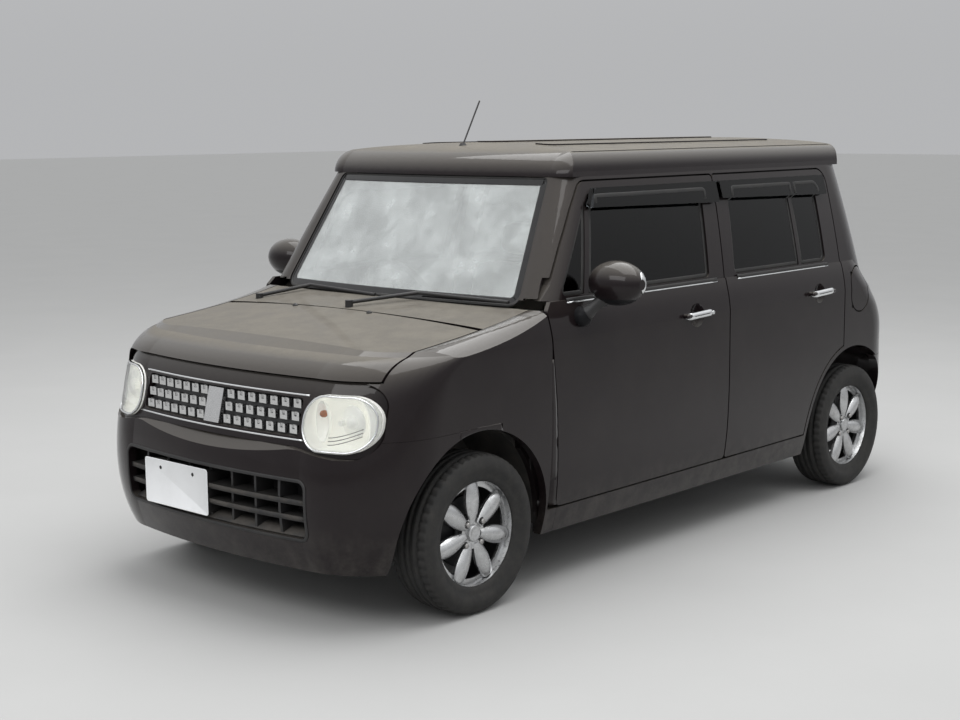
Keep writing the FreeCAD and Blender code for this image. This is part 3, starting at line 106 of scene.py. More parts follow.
# Seals, strips and handles.
PANE_TOP_FOOT = 1.1
SEAL_WIDTH = 0.014
SEAL_HEIGHT = 0.0014
BELT_LEVEL = 0.985
BELT_BEAD_DROP = 0.009
OUTER_FACE_X = 0.66
WINDSCREEN_BAND = 0.030
TAILGATE_BAND = 0.026
MOULDING_INSET = 0.003
HANDLE_PLACES = ((0.045, 0.868), (0.945, 0.874))
HANDLE_HALF = 0.086
HANDLE_X = 0.7515
HANDLE_SINK = 0.010
HANDLE_RISE = 0.003
HANDLE_SECTION = (0.0135, 14, 0.75)
LOCK_PLACE = (HANDLE_X + 0.0085, HANDLE_PLACES[0][0] + HANDLE_HALF - 0.014, HANDLE_PLACES[0][1] + 0.0025)
LOCK_PROFILE = ((0.0, 0.0072), (0.0016, 0.0072), (0.0024, 0.0062), (0.0018, 0.0030), (0.0018, 0.0004))

# Number plate, intake and the fender's edges.
PLATE_PLACE = (-0.150, -1.6965, 0.392)
PLATE_SIZE = (0.335, 0.155)
PLATE_CORNER = 0.010
PLATE_RINGS = ((0.001, 0.0016), (0.0, 0.001), (0.0, 0.0004), (0.0008, 0.0), (0.0028, 0.0), (0.0036, 0.0007))
HOLDER_RINGS = ((0.004, 0.0018), (0.004, 0.008), (0.012, 0.060))
SCREW_PLACES = ((-0.082, 0.05), (0.090, 0.05))
SCREW_PROFILE = ((0.0012, 0.0062), (0.0, 0.0062), (-0.0006, 0.0050), (-0.0006, 0.0012))
INTAKE_HALF = 0.452
INTAKE_LOW = 0.303
INTAKE_HIGH = 0.482
INTAKE_MARGIN = 0.006
INTAKE_CORNER = 0.030
SLAT_LEVELS = (0.366, 0.418)
SLAT_HALF = 0.44
SLAT_REAR = -1.5
SLAT_SECTION = ((-0.007, -0.001), (-0.006, 0.002), (0.006, 0.002), (0.007, -0.001))
SHELF_HALF = 0.436
SHELF_FRONT = (0.008, 0.006)
SHELF_BACK = (0.075, 0.032)
SHELF_THICKNESS = 0.004
ARCH_RADIUS = 0.342
AXLE_LEVEL = 0.265
FRONT_AXLE = -1.1525
LIP_START, LIP_END = -1.2555, -1.050
LIP_TOP = 0.75
EDGE_LOW, EDGE_HIGH = 0.225, 0.86
EDGE_CLEAR = 0.0045
WALL_X = 0.69

# Mirrors and washers.
MIRROR_X = 0.832
MIRROR_LEVEL = 1.041
MIRROR_GLASS_HALF = (0.068, 0.050)
MIRROR_GLASS_RINGS = ((1.0, -0.0006), (0.985, 0.0008), (0.95, 0.0014), (0.5, 0.0014), (0.02, 0.0014))
MIRROR_LAMP_CENTRE = (0.832, -0.572, 1.046)
MIRROR_LAMP_WAY = (0.985, 0.17)
MIRROR_LAMP_FLAT = 0.82
MIRROR_RIM_RINGS = ((1.0, -0.001), (0.97, 0.0008), (0.5, 0.0002), (0.02, 0.0))
MIRROR_LAMP_RINGS = ((1.0, -0.0004), (0.97, 0.0011), (0.80, 0.0016), (0.4, 0.0017), (0.02, 0.0017))
MIRROR_REACH = 0.9370
MIRROR_NECK = ((0.745, -0.636, 0.934), (0.768, -0.618, 0.962), (0.806, -0.590, 0.996))
NECK_RADIUS = 0.020
NECK_SIZES = [1.35, 1.25, 1.15, 1.05, 1.0, 1.05, 1.15, 1.3, 1.5]
WASHER_PLACES = ((-0.240, -1.075), (0.143, -1.075))
WASHER_PROFILE = ((-0.004, 0.010), (0.001, 0.0105), (0.005, 0.0085), (0.0085, 0.0050), (0.0095, 0.0008))

# Wheels. A tyre's outline gives shares of its half width with radii, and 1 where the sipes cut in.
RIM_FACE = 0.672
TYRE_HALF_WIDTH = 0.0825
TYRE_STEPS = 216
SIPE_DEPTH = 0.0055
TYRE_BEAD = ((0.70, 0.178, 0), (0.72, 0.172, 0))
TYRE_WALL = ((0.775, 0.176, 0), (0.845, 0.184, 0), (0.865, 0.192, 0), (0.900, 0.200, 0), (0.970, 0.211, 0),
             (0.996, 0.222, 0), (0.985, 0.235, 0), (0.945, 0.246, 0), (0.905, 0.252, 0), (0.875, 0.2558, 0))
TYRE_TREAD = ((0.830, 0.2592, 1), (0.640, 0.2630, 1), (0.560, 0.2636, 1), (0.548, 0.2570, 0),
              (0.455, 0.2570, 0), (0.443, 0.2641, 0), (0.200, 0.2648, 0), (0.188, 0.2575, 0),
              (0.095, 0.2575, 0), (0.083, 0.2650, 0))
NUT_CIRCLE = 0.050
NUT_SEAT = ((0.0004, 0.0128), (0.0012, 0.0125), (0.0014, 0.0090))
NUT_PROFILE = ((0.0, 0.0095), (0.007, 0.0095), (0.0095, 0.0075), (0.0105, 0.0008))
CAP_PROFILE = ((-0.004, 0.0275), (0.0022, 0.0272), (0.0044, 0.0255), (0.0052, 0.0205), (0.0044, 0.0195),
               (0.0050, 0.0120), (0.0056, 0.0008))

# Seats: node, middles across the car, half width of a cushion, and the base's top as a share of the height.
SEATS = (("front_seats", (-0.34, 0.34), 0.235, 0.36), ("rear_seat", (-0.30, 0.30), 0.275, 0.45))
SEAT_BASE_HALF = 0.062
SEAT_BACK_HALF = 0.055
HEADREST_HALF = (0.11, 0.068, 0.036)
HEADREST_DROP = (0.060, 0.075)
PAD_SHARE = 0.36
BASE_MIDDLE = 0.38
BASE_SINK = 0.07
BACK_MIDDLE = 0.20
BACK_RISE = 0.95
BASE_LEAN, BACK_LEAN, HEADREST_LEAN = 0.05, math.radians(76), math.radians(80)
CHANNEL_DEPTH = 0.006
CHANNEL_WIDTH = 0.007


def wheel_centre(end, side):
    """The middle of a wheel."""
    low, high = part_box(f"tyre_{end}_{side}")
    return (low + high) / 2


# Materials.
def shader_material(name):
    """A material with the wires of its node tree and its principled shader."""
    material = bpy.data.materials.new(name)
    material.use_nodes = True
    tree = material.node_tree
    return material, Wires(tree), tree.nodes["Principled BSDF"]


class Wires:
    """Adds nodes to a tree and joins them by socket names."""

    def __init__(self, tree):
        self.tree = tree

    def add(self, kind, **values):
        made = self.tree.nodes.new(kind)
        for name, value in values.items():
            setattr(made, name, value)
        return made

    def join(self, source, target):
        self.tree.links.new(source, target)

    def noise(self, scale, detail=4, roughness=0.5):
        """Cloudy noise in the object's own frame."""
        place = self.add("ShaderNodeTexCoord")
        texture = self.add("ShaderNodeTexNoise")
        texture.inputs["Scale"].default_value = scale
        texture.inputs["Detail"].default_value = detail
        texture.inputs["Roughness"].default_value = roughness
        self.join(place.outputs["Object"], texture.inputs["Vector"])
        return texture.outputs["Fac"]

    def place(self, axis, kind="Object"):
        """One coordinate of a place, or of a normal or a sky direction by another kind."""
        source = self.add("ShaderNodeTexCoord")
        split = self.add("ShaderNodeSeparateXYZ")
        self.join(source.outputs[kind], split.inputs["Vector"])
        return split.outputs[axis]

    def ramp(self, source, low, high, first=0.0, last=1.0):
        """Maps source from low..high to first..last, smoothly."""
        made = self.add("ShaderNodeMapRange", interpolation_type="SMOOTHSTEP")
        made.inputs["From Min"].default_value = low
        made.inputs["From Max"].default_value = high
        made.inputs["To Min"].default_value = first
        made.inputs["To Max"].default_value = last
        self.join(source, made.inputs["Value"])
        return made.outputs["Result"]

    def math(self, operation, first, second):
        made = self.add("ShaderNodeMath", operation=operation)
        for index, value in enumerate((first, second)):
            if isinstance(value, (int, float)):
                made.inputs[index].default_value = value
            else:
                self.join(value, made.inputs[index])
        return made.outputs["Value"]

    def mix(self, factor, first, second):
        made = self.add("ShaderNodeMix", data_type="RGBA")
        if isinstance(factor, (int, float)):
            made.inputs["Factor"].default_value = factor
        else:
            self.join(factor, made.inputs["Factor"])
        for name, value in (("A", first), ("B", second)):
            socket = [s for s in made.inputs if s.name == name and s.type == "RGBA"][0]
            if isinstance(value, tuple):
                socket.default_value = (*value, 1)
            else:
                self.join(value, socket)
        return [s for s in made.outputs if s.type == "RGBA"][0]

    def up_facing(self, low, high):
        """How far a face looks up, in the object's own frame."""
        return self.ramp(self.place("Z", "Normal"), low, high)

    def level(self, low, high, first=0.0, last=1.0):
        """How high a place lies, mapped as by ramp."""
        return self.ramp(self.place("Z"), low, high, first, last)

    def without(self, value, mask):
        """A value that fades to nothing under a mask."""
        return self.math("MULTIPLY", value, self.math("SUBTRACT", 1.0, mask))

    def bump(self, height, strength, distance):
        made = self.add("ShaderNodeBump")
        made.inputs["Strength"].default_value = strength
        made.inputs["Distance"].default_value = distance
        self.join(height, made.inputs["Height"])
        return made.outputs["Normal"]


BLACK = (0.012, 0.012, 0.013)


def paint(name, dust_top, black=None):
    """Dark brown metallic paint under clear lacquer, with dust on what looks up, grime low down, and a
    painted sky reflection: a pale film on every face that looks up even a little.

    Where the mask made by `black` is 1, the surface is bare black plastic.
    """
    material, wires, shader = shader_material(name)
    flakes = wires.noise(2600, 2, 0.6)
    metal = wires.mix(wires.ramp(flakes, 0.45, 0.75), (0.0075, 0.0050, 0.0056), (0.030, 0.022, 0.024))
    patches = wires.ramp(wires.noise(9, 5, 0.65), 0.2, 0.8, 0.72, 1.0)
    grain = wires.ramp(wires.noise(420, 3, 0.7), 0.25, 0.75, 0.75, 1.0)
    top = wires.math("MULTIPLY", wires.up_facing(0.80, 0.97), dust_top)
    settled = wires.math("MULTIPLY", wires.math("MULTIPLY", top, patches), grain)
    low_down = wires.level(0.40, 0.19, 0.0, 0.22)
    splashed = wires.math("MULTIPLY", low_down, wires.ramp(wires.noise(14, 6, 0.7), 0.3, 0.8))
    dust_and_reflection_film = wires.ramp(wires.noise(5, 4, 0.6), 0.35, 0.8, 0.0, 0.02)
    # Painted sky reflection: faces that look up even a little are mixed up to 0.30 towards the pale dust
    # colour, standing in for the bright sky they mirror.
    dust_and_reflection_film = wires.math("MAXIMUM", dust_and_reflection_film, wires.math("MULTIPLY", wires.up_facing(0.12, 0.85), 0.30))
    # Share of the pale colour: settled and splashed dust, a faint dust film, and the painted sky
    # reflection.
    cover_share = wires.math("MAXIMUM", wires.math("MAXIMUM", settled, splashed), dust_and_reflection_film)
    colour = wires.mix(cover_share, metal, (0.185, 0.172, 0.148))
    rough = wires.ramp(cover_share, 0.0, 0.8, 0.30, 0.85)
    coat = wires.ramp(cover_share, 0.30, 0.80, 1.0, 0.08)
    metallic = wires.ramp(cover_share, 0.0, 0.8, 0.15, 0.0)
    if black:
        mask = black(wires)
        colour = wires.mix(mask, colour, BLACK)
        coat = wires.without(coat, mask)
        metallic = wires.without(metallic, mask)
    wires.join(colour, shader.inputs["Base Color"])
    wires.join(rough, shader.inputs["Roughness"])
    wires.join(coat, shader.inputs["Coat Weight"])
    wires.join(metallic, shader.inputs["Metallic"])
    wires.join(wires.bump(wires.noise(60, 4, 0.5), 0.02, 0.002), shader.inputs["Normal"])
    shader.inputs["Specular IOR Level"].default_value = 0.05
    shader.inputs["Coat Roughness"].default_value = 0.02
    shader.inputs["Coat IOR"].default_value = 1.32
    return material


def plastic(name, colour, roughness, grain_scale=900, grain=0.25, dusty=0.25):
    """Grained plastic or coated metal with a little dust."""
    material, wires, shader = shader_material(name)
    mottle = wires.ramp(wires.noise(14, 5, 0.6), 0.3, 0.75, 0.0, dusty)
    on_top = wires.math("MULTIPLY", wires.up_facing(0.5, 1.0), dusty)
    cover_share = wires.math("MAXIMUM", mottle, on_top)
    wires.join(wires.mix(cover_share, colour, (0.105, 0.093, 0.080)), shader.inputs["Base Color"])
    rough = wires.ramp(cover_share, 0.0, 0.5, roughness, min(roughness + 0.25, 1.0))
    wires.join(rough, shader.inputs["Roughness"])
    wires.join(wires.bump(wires.noise(grain_scale, 3, 0.6), grain, 0.0006), shader.inputs["Normal"])
    return material


def metal(name, colour, roughness, dirt=0.2, dirt_colour=(0.05, 0.042, 0.036), scale=18, black=None):
    """Bright or dull metal with uneven polish and dirt, and dull black where a mask says: the real black
    back of the grille, or painted shade inside the wheels.
    """
    material, wires, shader = shader_material(name)
    grime = wires.ramp(wires.noise(scale, 6, 0.7), 0.42, 0.8, 0.0, dirt)
    tone = wires.mix(grime, colour, dirt_colour)
    metallic = wires.ramp(grime, 0.0, 0.6, 1.0, 0.1)
    rough = wires.ramp(wires.noise(scale * 4, 4, 0.6), 0.3, 0.8, roughness, roughness + 0.16)
    if black:
        mask = black(wires)
        tone = wires.mix(mask, tone, BLACK)
        metallic = wires.without(metallic, mask)
        rough = wires.math("MAXIMUM", rough, wires.math("MULTIPLY", mask, 0.5))
    wires.join(tone, shader.inputs["Base Color"])
    wires.join(metallic, shader.inputs["Metallic"])
    wires.join(rough, shader.inputs["Roughness"])
    wires.join(wires.bump(wires.noise(scale * 20, 3, 0.6), 0.05, 0.0008), shader.inputs["Normal"])
    return material


def glass(name, tint, dust_and_reflection_haze, film_and_reflection_colour=(0.45, 0.46, 0.46), coat_ior=1.5, coat=0.0, ior=1.5):
    """Clear or tinted glass with an uneven film: thin real dust, and on the windscreen a thick pale film
    that is painted sky reflection.
    """
    material, wires, shader = shader_material(name)
    # Where the haze is large, the pale film is painted sky reflection as well as dust.
    dust_and_reflection_film = wires.ramp(wires.noise(7, 6, 0.7), 0.3, 0.8, dust_and_reflection_haze * 0.4, dust_and_reflection_haze)
    wires.join(wires.mix(dust_and_reflection_film, tint, film_and_reflection_colour), shader.inputs["Base Color"])
    wires.join(wires.ramp(dust_and_reflection_film, 0.0, 1.0, 1.0, 0.0), shader.inputs["Transmission Weight"])
    shader.inputs["Roughness"].default_value = 0.0
    shader.inputs["IOR"].default_value = ior
    shader.inputs["Coat Weight"].default_value = coat
    shader.inputs["Coat IOR"].default_value = coat_ior
    shader.inputs["Coat Roughness"].default_value = 0.01
    return material


def rubber(name):
    """Dull black rubber with patches of dust."""
    material, wires, shader = shader_material(name)
    cover_share = wires.ramp(wires.noise(34, 6, 0.7), 0.35, 0.8, 0.1, 0.65)
    wires.join(wires.mix(cover_share, (0.010, 0.010, 0.010), (0.036, 0.033, 0.029)), shader.inputs["Base Color"])
    wires.join(wires.bump(wires.noise(700, 3, 0.6), 0.3, 0.0006), shader.inputs["Normal"])
    shader.inputs["Roughness"].default_value = 0.78
    return material


def cloth(name, colour, thread):
    """Woven seat cloth: two crossed waves with colour variation and sheen."""
    material, wires, shader = shader_material(name)
    heights = []
    for axis in ("X", "Z"):
        place = wires.add("ShaderNodeTexCoord")
        wave = wires.add("ShaderNodeTexWave", bands_direction=axis)
        wave.inputs["Scale"].default_value = 330
        wave.inputs["Distortion"].default_value = 0.6
        wires.join(place.outputs["Object"], wave.inputs["Vector"])
        heights.append(wave.outputs["Fac"])
    weave = wires.math("MULTIPLY", heights[0], heights[1])
    tone = wires.mix(wires.noise(20, 5, 0.6), colour, thread)
    wires.join(wires.mix(weave, tone, thread), shader.inputs["Base Color"])
    wires.join(wires.bump(weave, 0.5, 0.0008), shader.inputs["Normal"])
    shader.inputs["Roughness"].default_value = 0.9
    shader.inputs["Sheen Weight"].default_value = 0.35
    return material


BODY_PAINT = paint("body_paint", 0.30)
DUSTY_PAINT = paint("dusty_body_paint", 0.97)
MIRROR_PAINT = paint("mirror_paint", 0.30, lambda wires: wires.level(0.992, 0.989))
TRIM = plastic("black_trim", (0.010, 0.010, 0.011), 0.5, dusty=0.12)
SHELF_TRIM = plastic("dusty_black_trim", (0.014, 0.014, 0.015), 0.6, dusty=0.6)
UNDERBODY = plastic("underbody_coat", (0.022, 0.021, 0.020), 0.7, 120, 0.5, 0.5)
INTERIOR = plastic("cabin_plastic", (0.050, 0.046, 0.042), 0.6, 1400, 0.4, 0.1)
RED_LENS = plastic("red_lens", (0.30, 0.008, 0.010), 0.12, 60, 0.05, 0.12)
CHROME = metal("plated_trim", (0.78, 0.79, 0.80), 0.06, 0.12)
REFLECTOR = plastic("lamp_reflector", (0.92, 0.92, 0.88), 0.12, 40, 0.02, 0.03)
# Painted brightness: the reflector and the parts made of it glow faintly, standing in for the light their
# pale bowls reflect.
reflector_painted_glow = REFLECTOR.node_tree.nodes["Principled BSDF"]
reflector_painted_glow.inputs["Emission Color"].default_value = (1.0, 0.99, 0.94, 1)
reflector_painted_glow.inputs["Emission Strength"].default_value = 0.20


def painted_shade_behind_spokes(wires):
    """1 on the rim's barrel and hub, which lie inboard of the spokes; there the alloy is made dull black, a
    painted shade for the dark depth of the wheel.
    """
    return wires.ramp(wires.math("ABSOLUTE", wires.place("X"), 0.0), RIM_FACE - 0.005, RIM_FACE - 0.017)


def behind_teeth(wires):
    """1 on the grille's back, which follows its bowed and leaning front at a set depth."""
    sideways = wires.math("ABSOLUTE", wires.place("X"), 0.0)
    bow = wires.math("MULTIPLY", wires.math("POWER", sideways, 2.0), GRILLE_BOW)
    lean = wires.math("MULTIPLY", wires.math("SUBTRACT", wires.place("Z"), GRILLE_FOOT), GRILLE_LEAN)
    front = wires.math("ADD", wires.math("ADD", bow, lean), GRILLE_FRONT)
    return wires.ramp(wires.math("SUBTRACT", wires.place("Y"), front), GRILLE_TOOTH - 0.0008, GRILLE_TOOTH)


# Painted shade: inboard of the spokes the silver alloy is painted dull black.
ALLOY = metal("silver_alloy", (0.56, 0.565, 0.57), 0.26, 0.45, (0.10, 0.085, 0.07), 30, painted_shade_behind_spokes)
GRILLE_METAL = metal("grille_teeth", (0.74, 0.74, 0.74), 0.16, 0.2, scale=60, black=behind_teeth)
IRON = metal("dirty_iron", (0.10, 0.095, 0.09), 0.55, 0.8, (0.06, 0.048, 0.038), 22)
# The windscreen's pale film is partly real dust and partly painted sky reflection; its strong coat reflects
# the scene itself.
CLEAR_GLASS = glass("windscreen_glass", (0.80, 0.86, 0.84), 0.46, (0.80, 0.84, 0.85), 2.4, 1.0)
DARK_GLASS = glass("tinted_glass", (0.020, 0.022, 0.024), 0.015, (0.20, 0.20, 0.20), ior=1.33)
LENS_GLASS = glass("lamp_lens", (0.96, 0.97, 0.96), 0.05, (0.80, 0.80, 0.76))
TYRE_RUBBER = rubber("tyre_rubber")
SEAT_CLOTH = cloth("seat_cloth", (0.105, 0.085, 0.068), (0.16, 0.135, 0.11))

SEAL_RUBBER = plastic("seal_rubber", (0.010, 0.010, 0.010), 0.55, 400, 0.1, 0.12)
FRIT = plastic("printed_band", (0.006, 0.006, 0.007), 0.08, 40, 0.0, 0.06)
GLASS_EDGE = plastic("moulded_flute", (0.20, 0.20, 0.19), 0.2, 40, 0.0, 0.05)
AMBER = plastic("amber_bulb", (0.42, 0.13, 0.035), 0.15, 40, 0.0, 0.05)
PLATE_WHITE = plastic("white_plate", (0.80, 0.81, 0.82), 0.35, 300, 0.02, 0.06)
DARK_STEEL = metal("dark_steel", (0.05, 0.05, 0.05), 0.4, 0.4, (0.04, 0.035, 0.03), 60)
STEEL = metal("nut_steel", (0.42, 0.41, 0.40), 0.3, 0.5, (0.06, 0.05, 0.04), 90)
ALLOY_CAP = metal("cap_alloy", (0.56, 0.565, 0.57), 0.26, 0.3, (0.10, 0.085, 0.07), 60)
MIRROR_SILVER = metal("mirror_silver", (0.90, 0.91, 0.92), 0.02, 0.02)
LENS_SILVER = metal("side_lamp", (0.80, 0.81, 0.82), 0.12, 0.05)

SLOT_MATERIALS = {
    "paint": BODY_PAINT, "dusty_paint": DUSTY_PAINT, "trim": TRIM, "glass": CLEAR_GLASS,
    "tinted_glass": DARK_GLASS, "lens": LENS_GLASS, "red_lens": RED_LENS, "reflector": REFLECTOR,
    "bright": GRILLE_METAL, "alloy": ALLOY, "tyre": TYRE_RUBBER, "iron": IRON, "underbody": UNDERBODY,
    "interior": INTERIOR, "cloth": SEAT_CLOTH,
}
for part in frame["record"]["subparts"]:
    node = NODES[part["node"]]
    node.data.materials.clear()
    node.data.materials.append(SLOT_MATERIALS[part["material_slot"]])
for side in ("left", "right"):
    NODES[f"mirror_{side}"].data.materials[0] = MIRROR_PAINT
NODES["cowl"].data.materials[0] = DUSTY_PAINT


# Shapes.
def mesh_of_rows(name, groups, closed=False):
    """One mesh from groups of rows; each row is a closed ring of points, and open groups get flat ends."""
    points = []
    faces = []
    for rows in groups:
        first = len(points)
        width = len(rows[0])
        for row in rows:
            points.extend(row)
        steps = len(rows) if closed else len(rows) - 1
        for step in range(steps):
            start = first + step * width
            after = first + (step + 1) % len(rows) * width
            for index in range(width):
                beside = (index + 1) % width
                faces.append((start + index, start + beside, after + beside, after + index))
        if not closed:
            faces.append(tuple(first + index for index in reversed(range(width))))
            faces.append(tuple(first + (len(rows) - 1) * width + index for index in range(width)))
    mesh = bpy.data.meshes.new(name)
    mesh.from_pydata(points, [], faces)
    made = bmesh.new()
    made.from_mesh(mesh)
    bmesh.ops.recalc_face_normals(made, faces=made.faces)
    made.to_mesh(mesh)
    made.free()
    mesh.shade_smooth()
    return mesh


def round_section(radius, sides=10, flat=1.0):
    """A circle, or an ellipse whose height is `flat` of its width."""
    turns = [math.tau * side / sides for side in range(sides)]
    return [(radius * math.cos(turn), radius * flat * math.sin(turn)) for turn in turns]


def strip_section(width, height, sunk=0.0008):
    """A flat strip with chamfered shoulders, whose foot lies a little under the surface."""
    half = width / 2
    return [(-half, -sunk), (-half, height * 0.5), (-half * 0.75, height), (half * 0.75, height),
            (half, height * 0.5), (half, -sunk)]


def rows_along(points, section, outward, closed=False, sizes=None):
    """The section carried along the points; `outward` is one direction or one for each point."""
    rows = []
    count = len(points)
    for index, point in enumerate(points):
        before = points[index - 1] if index or closed else point
        after = points[(index + 1) % count] if index < count - 1 or closed else point
        along = (after - before).normalized()
        out = outward[index] if isinstance(outward, list) else outward
        across = along.cross(out).normalized()
        out = across.cross(along).normalized()
        size = sizes[index] if sizes else 1.0
        rows.append([point + across * (a * size) + out * (b * size) for a, b in section])
    return rows


def new_piece(name, groups, material, body, closed=False):
    """A piece made from groups of rows, which takes a material and rides on a body."""
    mesh = mesh_of_rows(name, groups, closed)
    mesh.materials.append(material)
    made = bpy.data.objects.new(name, mesh)
    bpy.context.scene.collection.objects.link(made)
    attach(made, body)
    return made


def sweep(name, points, section, outward, material, body, closed=False, sizes=None):
    """A piece with one section carried along a line of points."""
    rows = rows_along(points, section, outward, closed, sizes)
    return new_piece(name, [rows], material, body, closed)


def turned_ring(middle, half_x, half_z, steps):
    """An upright ellipse across the car."""
    turns = [math.tau * step / steps for step in range(steps)]
    return [middle + Vector((half_x * math.cos(turn), 0, half_z * math.sin(turn))) for turn in turns]


def rounded_outline(half_x, low, high, corner, steps):
    """The corners' arcs of a rounded rectangle, as (x, z) pairs about x = 0."""
    outline = []
    for quarter, (a, b) in enumerate(((1, 1), (-1, 1), (-1, -1), (1, -1))):
        middle_x = a * (half_x - corner)
        middle_z = high - corner if b > 0 else low + corner
        for step in range(steps):
            turn = math.pi / 2 * (quarter + step / (steps - 1))
            outline.append((middle_x + corner * math.cos(turn), middle_z + corner * math.sin(turn)))
    return outline


def lathe_rows(profile, place, axis, steps=32):
    """Rings round an axis for a profile of (distance along, radius) pairs."""
    axis = axis.normalized()
    side = axis.orthogonal().normalized()
    other = axis.cross(side)
    rows = []
    for along, radius in profile:
        ring = []
        for step in range(steps):
            turn = math.tau * step / steps
            ring.append(place + axis * along + (side * math.cos(turn) + other * math.sin(turn)) * radius)
        rows.append(ring)
    return rows


def lathe(name, profile, places, axis, material, body, steps=32):
    """A piece with the same turned form at each of several places."""
    groups = [lathe_rows(profile, place, axis, steps) for place in places]
    return new_piece(name, groups, material, body)


def surface(*names):
    """A function that gives the first point and normal met on CAD nodes, from a start in a direction."""
    trees = []
    for name in names:
        node = NODES[name]
        corners = [node.matrix_world @ vertex.co for vertex in node.data.vertices]
        trees.append(BVHTree.FromPolygons(corners, [list(face.vertices) for face in node.data.polygons]))

    def meet(start, direction):
        hits = [tree.ray_cast(start, direction) for tree in trees]
        hits = [hit for hit in hits if hit[0] is not None]
        if not hits:
            return None
        place, normal = min(hits, key=lambda hit: hit[3])[:2]
        if normal.dot(direction) > 0:
            normal = -normal
        return place, normal

    return meet


def islands(name):
    """The separate solids of a CAD node, as lists of points."""
    made = bmesh.new()
    made.from_mesh(NODES[name].data)
    bmesh.ops.remove_doubles(made, verts=made.verts, dist=1e-6)
    seen = set()
    groups = []
    for start in made.verts:
        if start in seen:
            continue
        seen.add(start)
        group = [start]
        for vertex in group:
            for edge in vertex.link_edges:
                other = edge.other_vert(vertex)
                if other not in seen:
                    seen.add(other)
                    group.append(other)
        groups.append([vertex.co.copy() for vertex in group])
    made.free()
    return groups


def border(points, first, second, inset, step=0.02):
    """The outline of points seen along one axis, moved inward and divided into short steps."""
    flat = [Vector((point[first], point[second])) for point in points]
    outline = [flat[index] for index in convex_hull_2d(flat)]
    outline = [point for index, point in enumerate(outline) if (point - outline[index - 1]).length > 0.0004]
    area = sum(a.x * b.y - b.x * a.y for a, b in zip(outline, outline[1:] + outline[:1]))
    sense = 1 if area > 0 else -1
    inner = []
    for index, point in enumerate(outline):
        before = (point - outline[index - 1]).normalized()
        after = (outline[(index + 1) % len(outline)] - point).normalized()
        normals = [Vector((-way.y, way.x)) * sense for way in (before, after)]
        middle = (normals[0] + normals[1]).normalized()
        inner.append(point + middle * (inset / max(middle.dot(normals[0]), 0.5)))
    divided = []
    for index, point in enumerate(inner):
        after = inner[(index + 1) % len(inner)]
        parts = max(1, round((after - point).length / step))
        divided.extend(point.lerp(after, part / parts) for part in range(parts))
    return divided


def laid_points(starts, meet, direction, least_x=0.0):
    """Where rays from the starts meet a surface at least so far out, and its normals there."""
    hits = [hit for hit in (meet(start, direction) for start in starts) if hit and abs(hit[0].x) >= least_x]
    return [place for place, normal in hits], [normal for place, normal in hits]


# Seals and trim strips round the glass.
def panes(node):
    """A side window's panes, without the visor above them."""
    return [points for points in islands(node) if min(point.z for point in points) < PANE_TOP_FOOT]


def side_seals():
    """A thin rubber seal round each side pane."""
    section = strip_section(SEAL_WIDTH, SEAL_HEIGHT)
    for side, sign in SIDES:
        inward = Vector((-sign, 0, 0))
        for end in ENDS:
            node = f"window_{end}_{side}"
            meet = surface(node)
            groups = []
            for points in panes(node):
                starts = [Vector((sign * OUTSIDE, y, z)) for y, z in border(points, 1, 2, SEAL_WIDTH / 2)]
                places, normals = laid_points(starts, meet, inward)
                groups.append(rows_along(places, section, normals, True))
            new_piece(f"window_seal_{end}_{side}", groups, SEAL_RUBBER, f"door_{end}_{side}", True)


def belt_strips():
    """A black weather strip with a thin bright edge along the foot of the side windows."""
    strips = (("belt_strip", BELT_LEVEL, strip_section(0.013, 0.0035), SEAL_RUBBER, "trim"),
              ("belt_bead", BELT_LEVEL - BELT_BEAD_DROP, strip_section(0.0045, 0.0025), CHROME, "bright"))
    count = 24
    for side, sign in SIDES:
        inward = Vector((-sign, 0, 0))
        for end in ENDS:
            body = f"door_{end}_{side}"
            meet = surface(body)
            reach = [point.y for points in panes(f"window_{end}_{side}") for point in points]
            first = min(reach) + 0.006
            last = max(reach) - 0.004
            for name, level, section, material, slot in strips:
                starts = []
                for step in range(count + 1):
                    starts.append(Vector((sign * OUTSIDE, first + (last - first) * step / count, level)))
                places, normals = laid_points(starts, meet, inward, OUTER_FACE_X)
                sweep(f"{name}_{end}_{side}", places, section, normals, material, body)


def glass_borders():
    """The black printed band and the rubber moulding round the windscreen and the tailgate's glass."""
    for node, body, start_y, direction, band in (
            ("windscreen", "root", -AHEAD, BACKWARD, WINDSCREEN_BAND),
            ("tailgate_glass", "tailgate", AHEAD, -BACKWARD, TAILGATE_BAND)):
        meet = surface(node)
        points = islands(node)[0]
        for name, inset, section, material in (
                (f"{node}_band", band / 2 + 0.001, strip_section(band, 0.0005, 0.0002), FRIT),
                (f"{node}_moulding", MOULDING_INSET, strip_section(0.011, 0.0022), SEAL_RUBBER)):
            starts = [Vector((x, start_y, z)) for x, z in border(points, 0, 2, inset)]
            places, normals = laid_points(starts, meet, direction)
            sweep(name, places, section, normals, material, body, True)


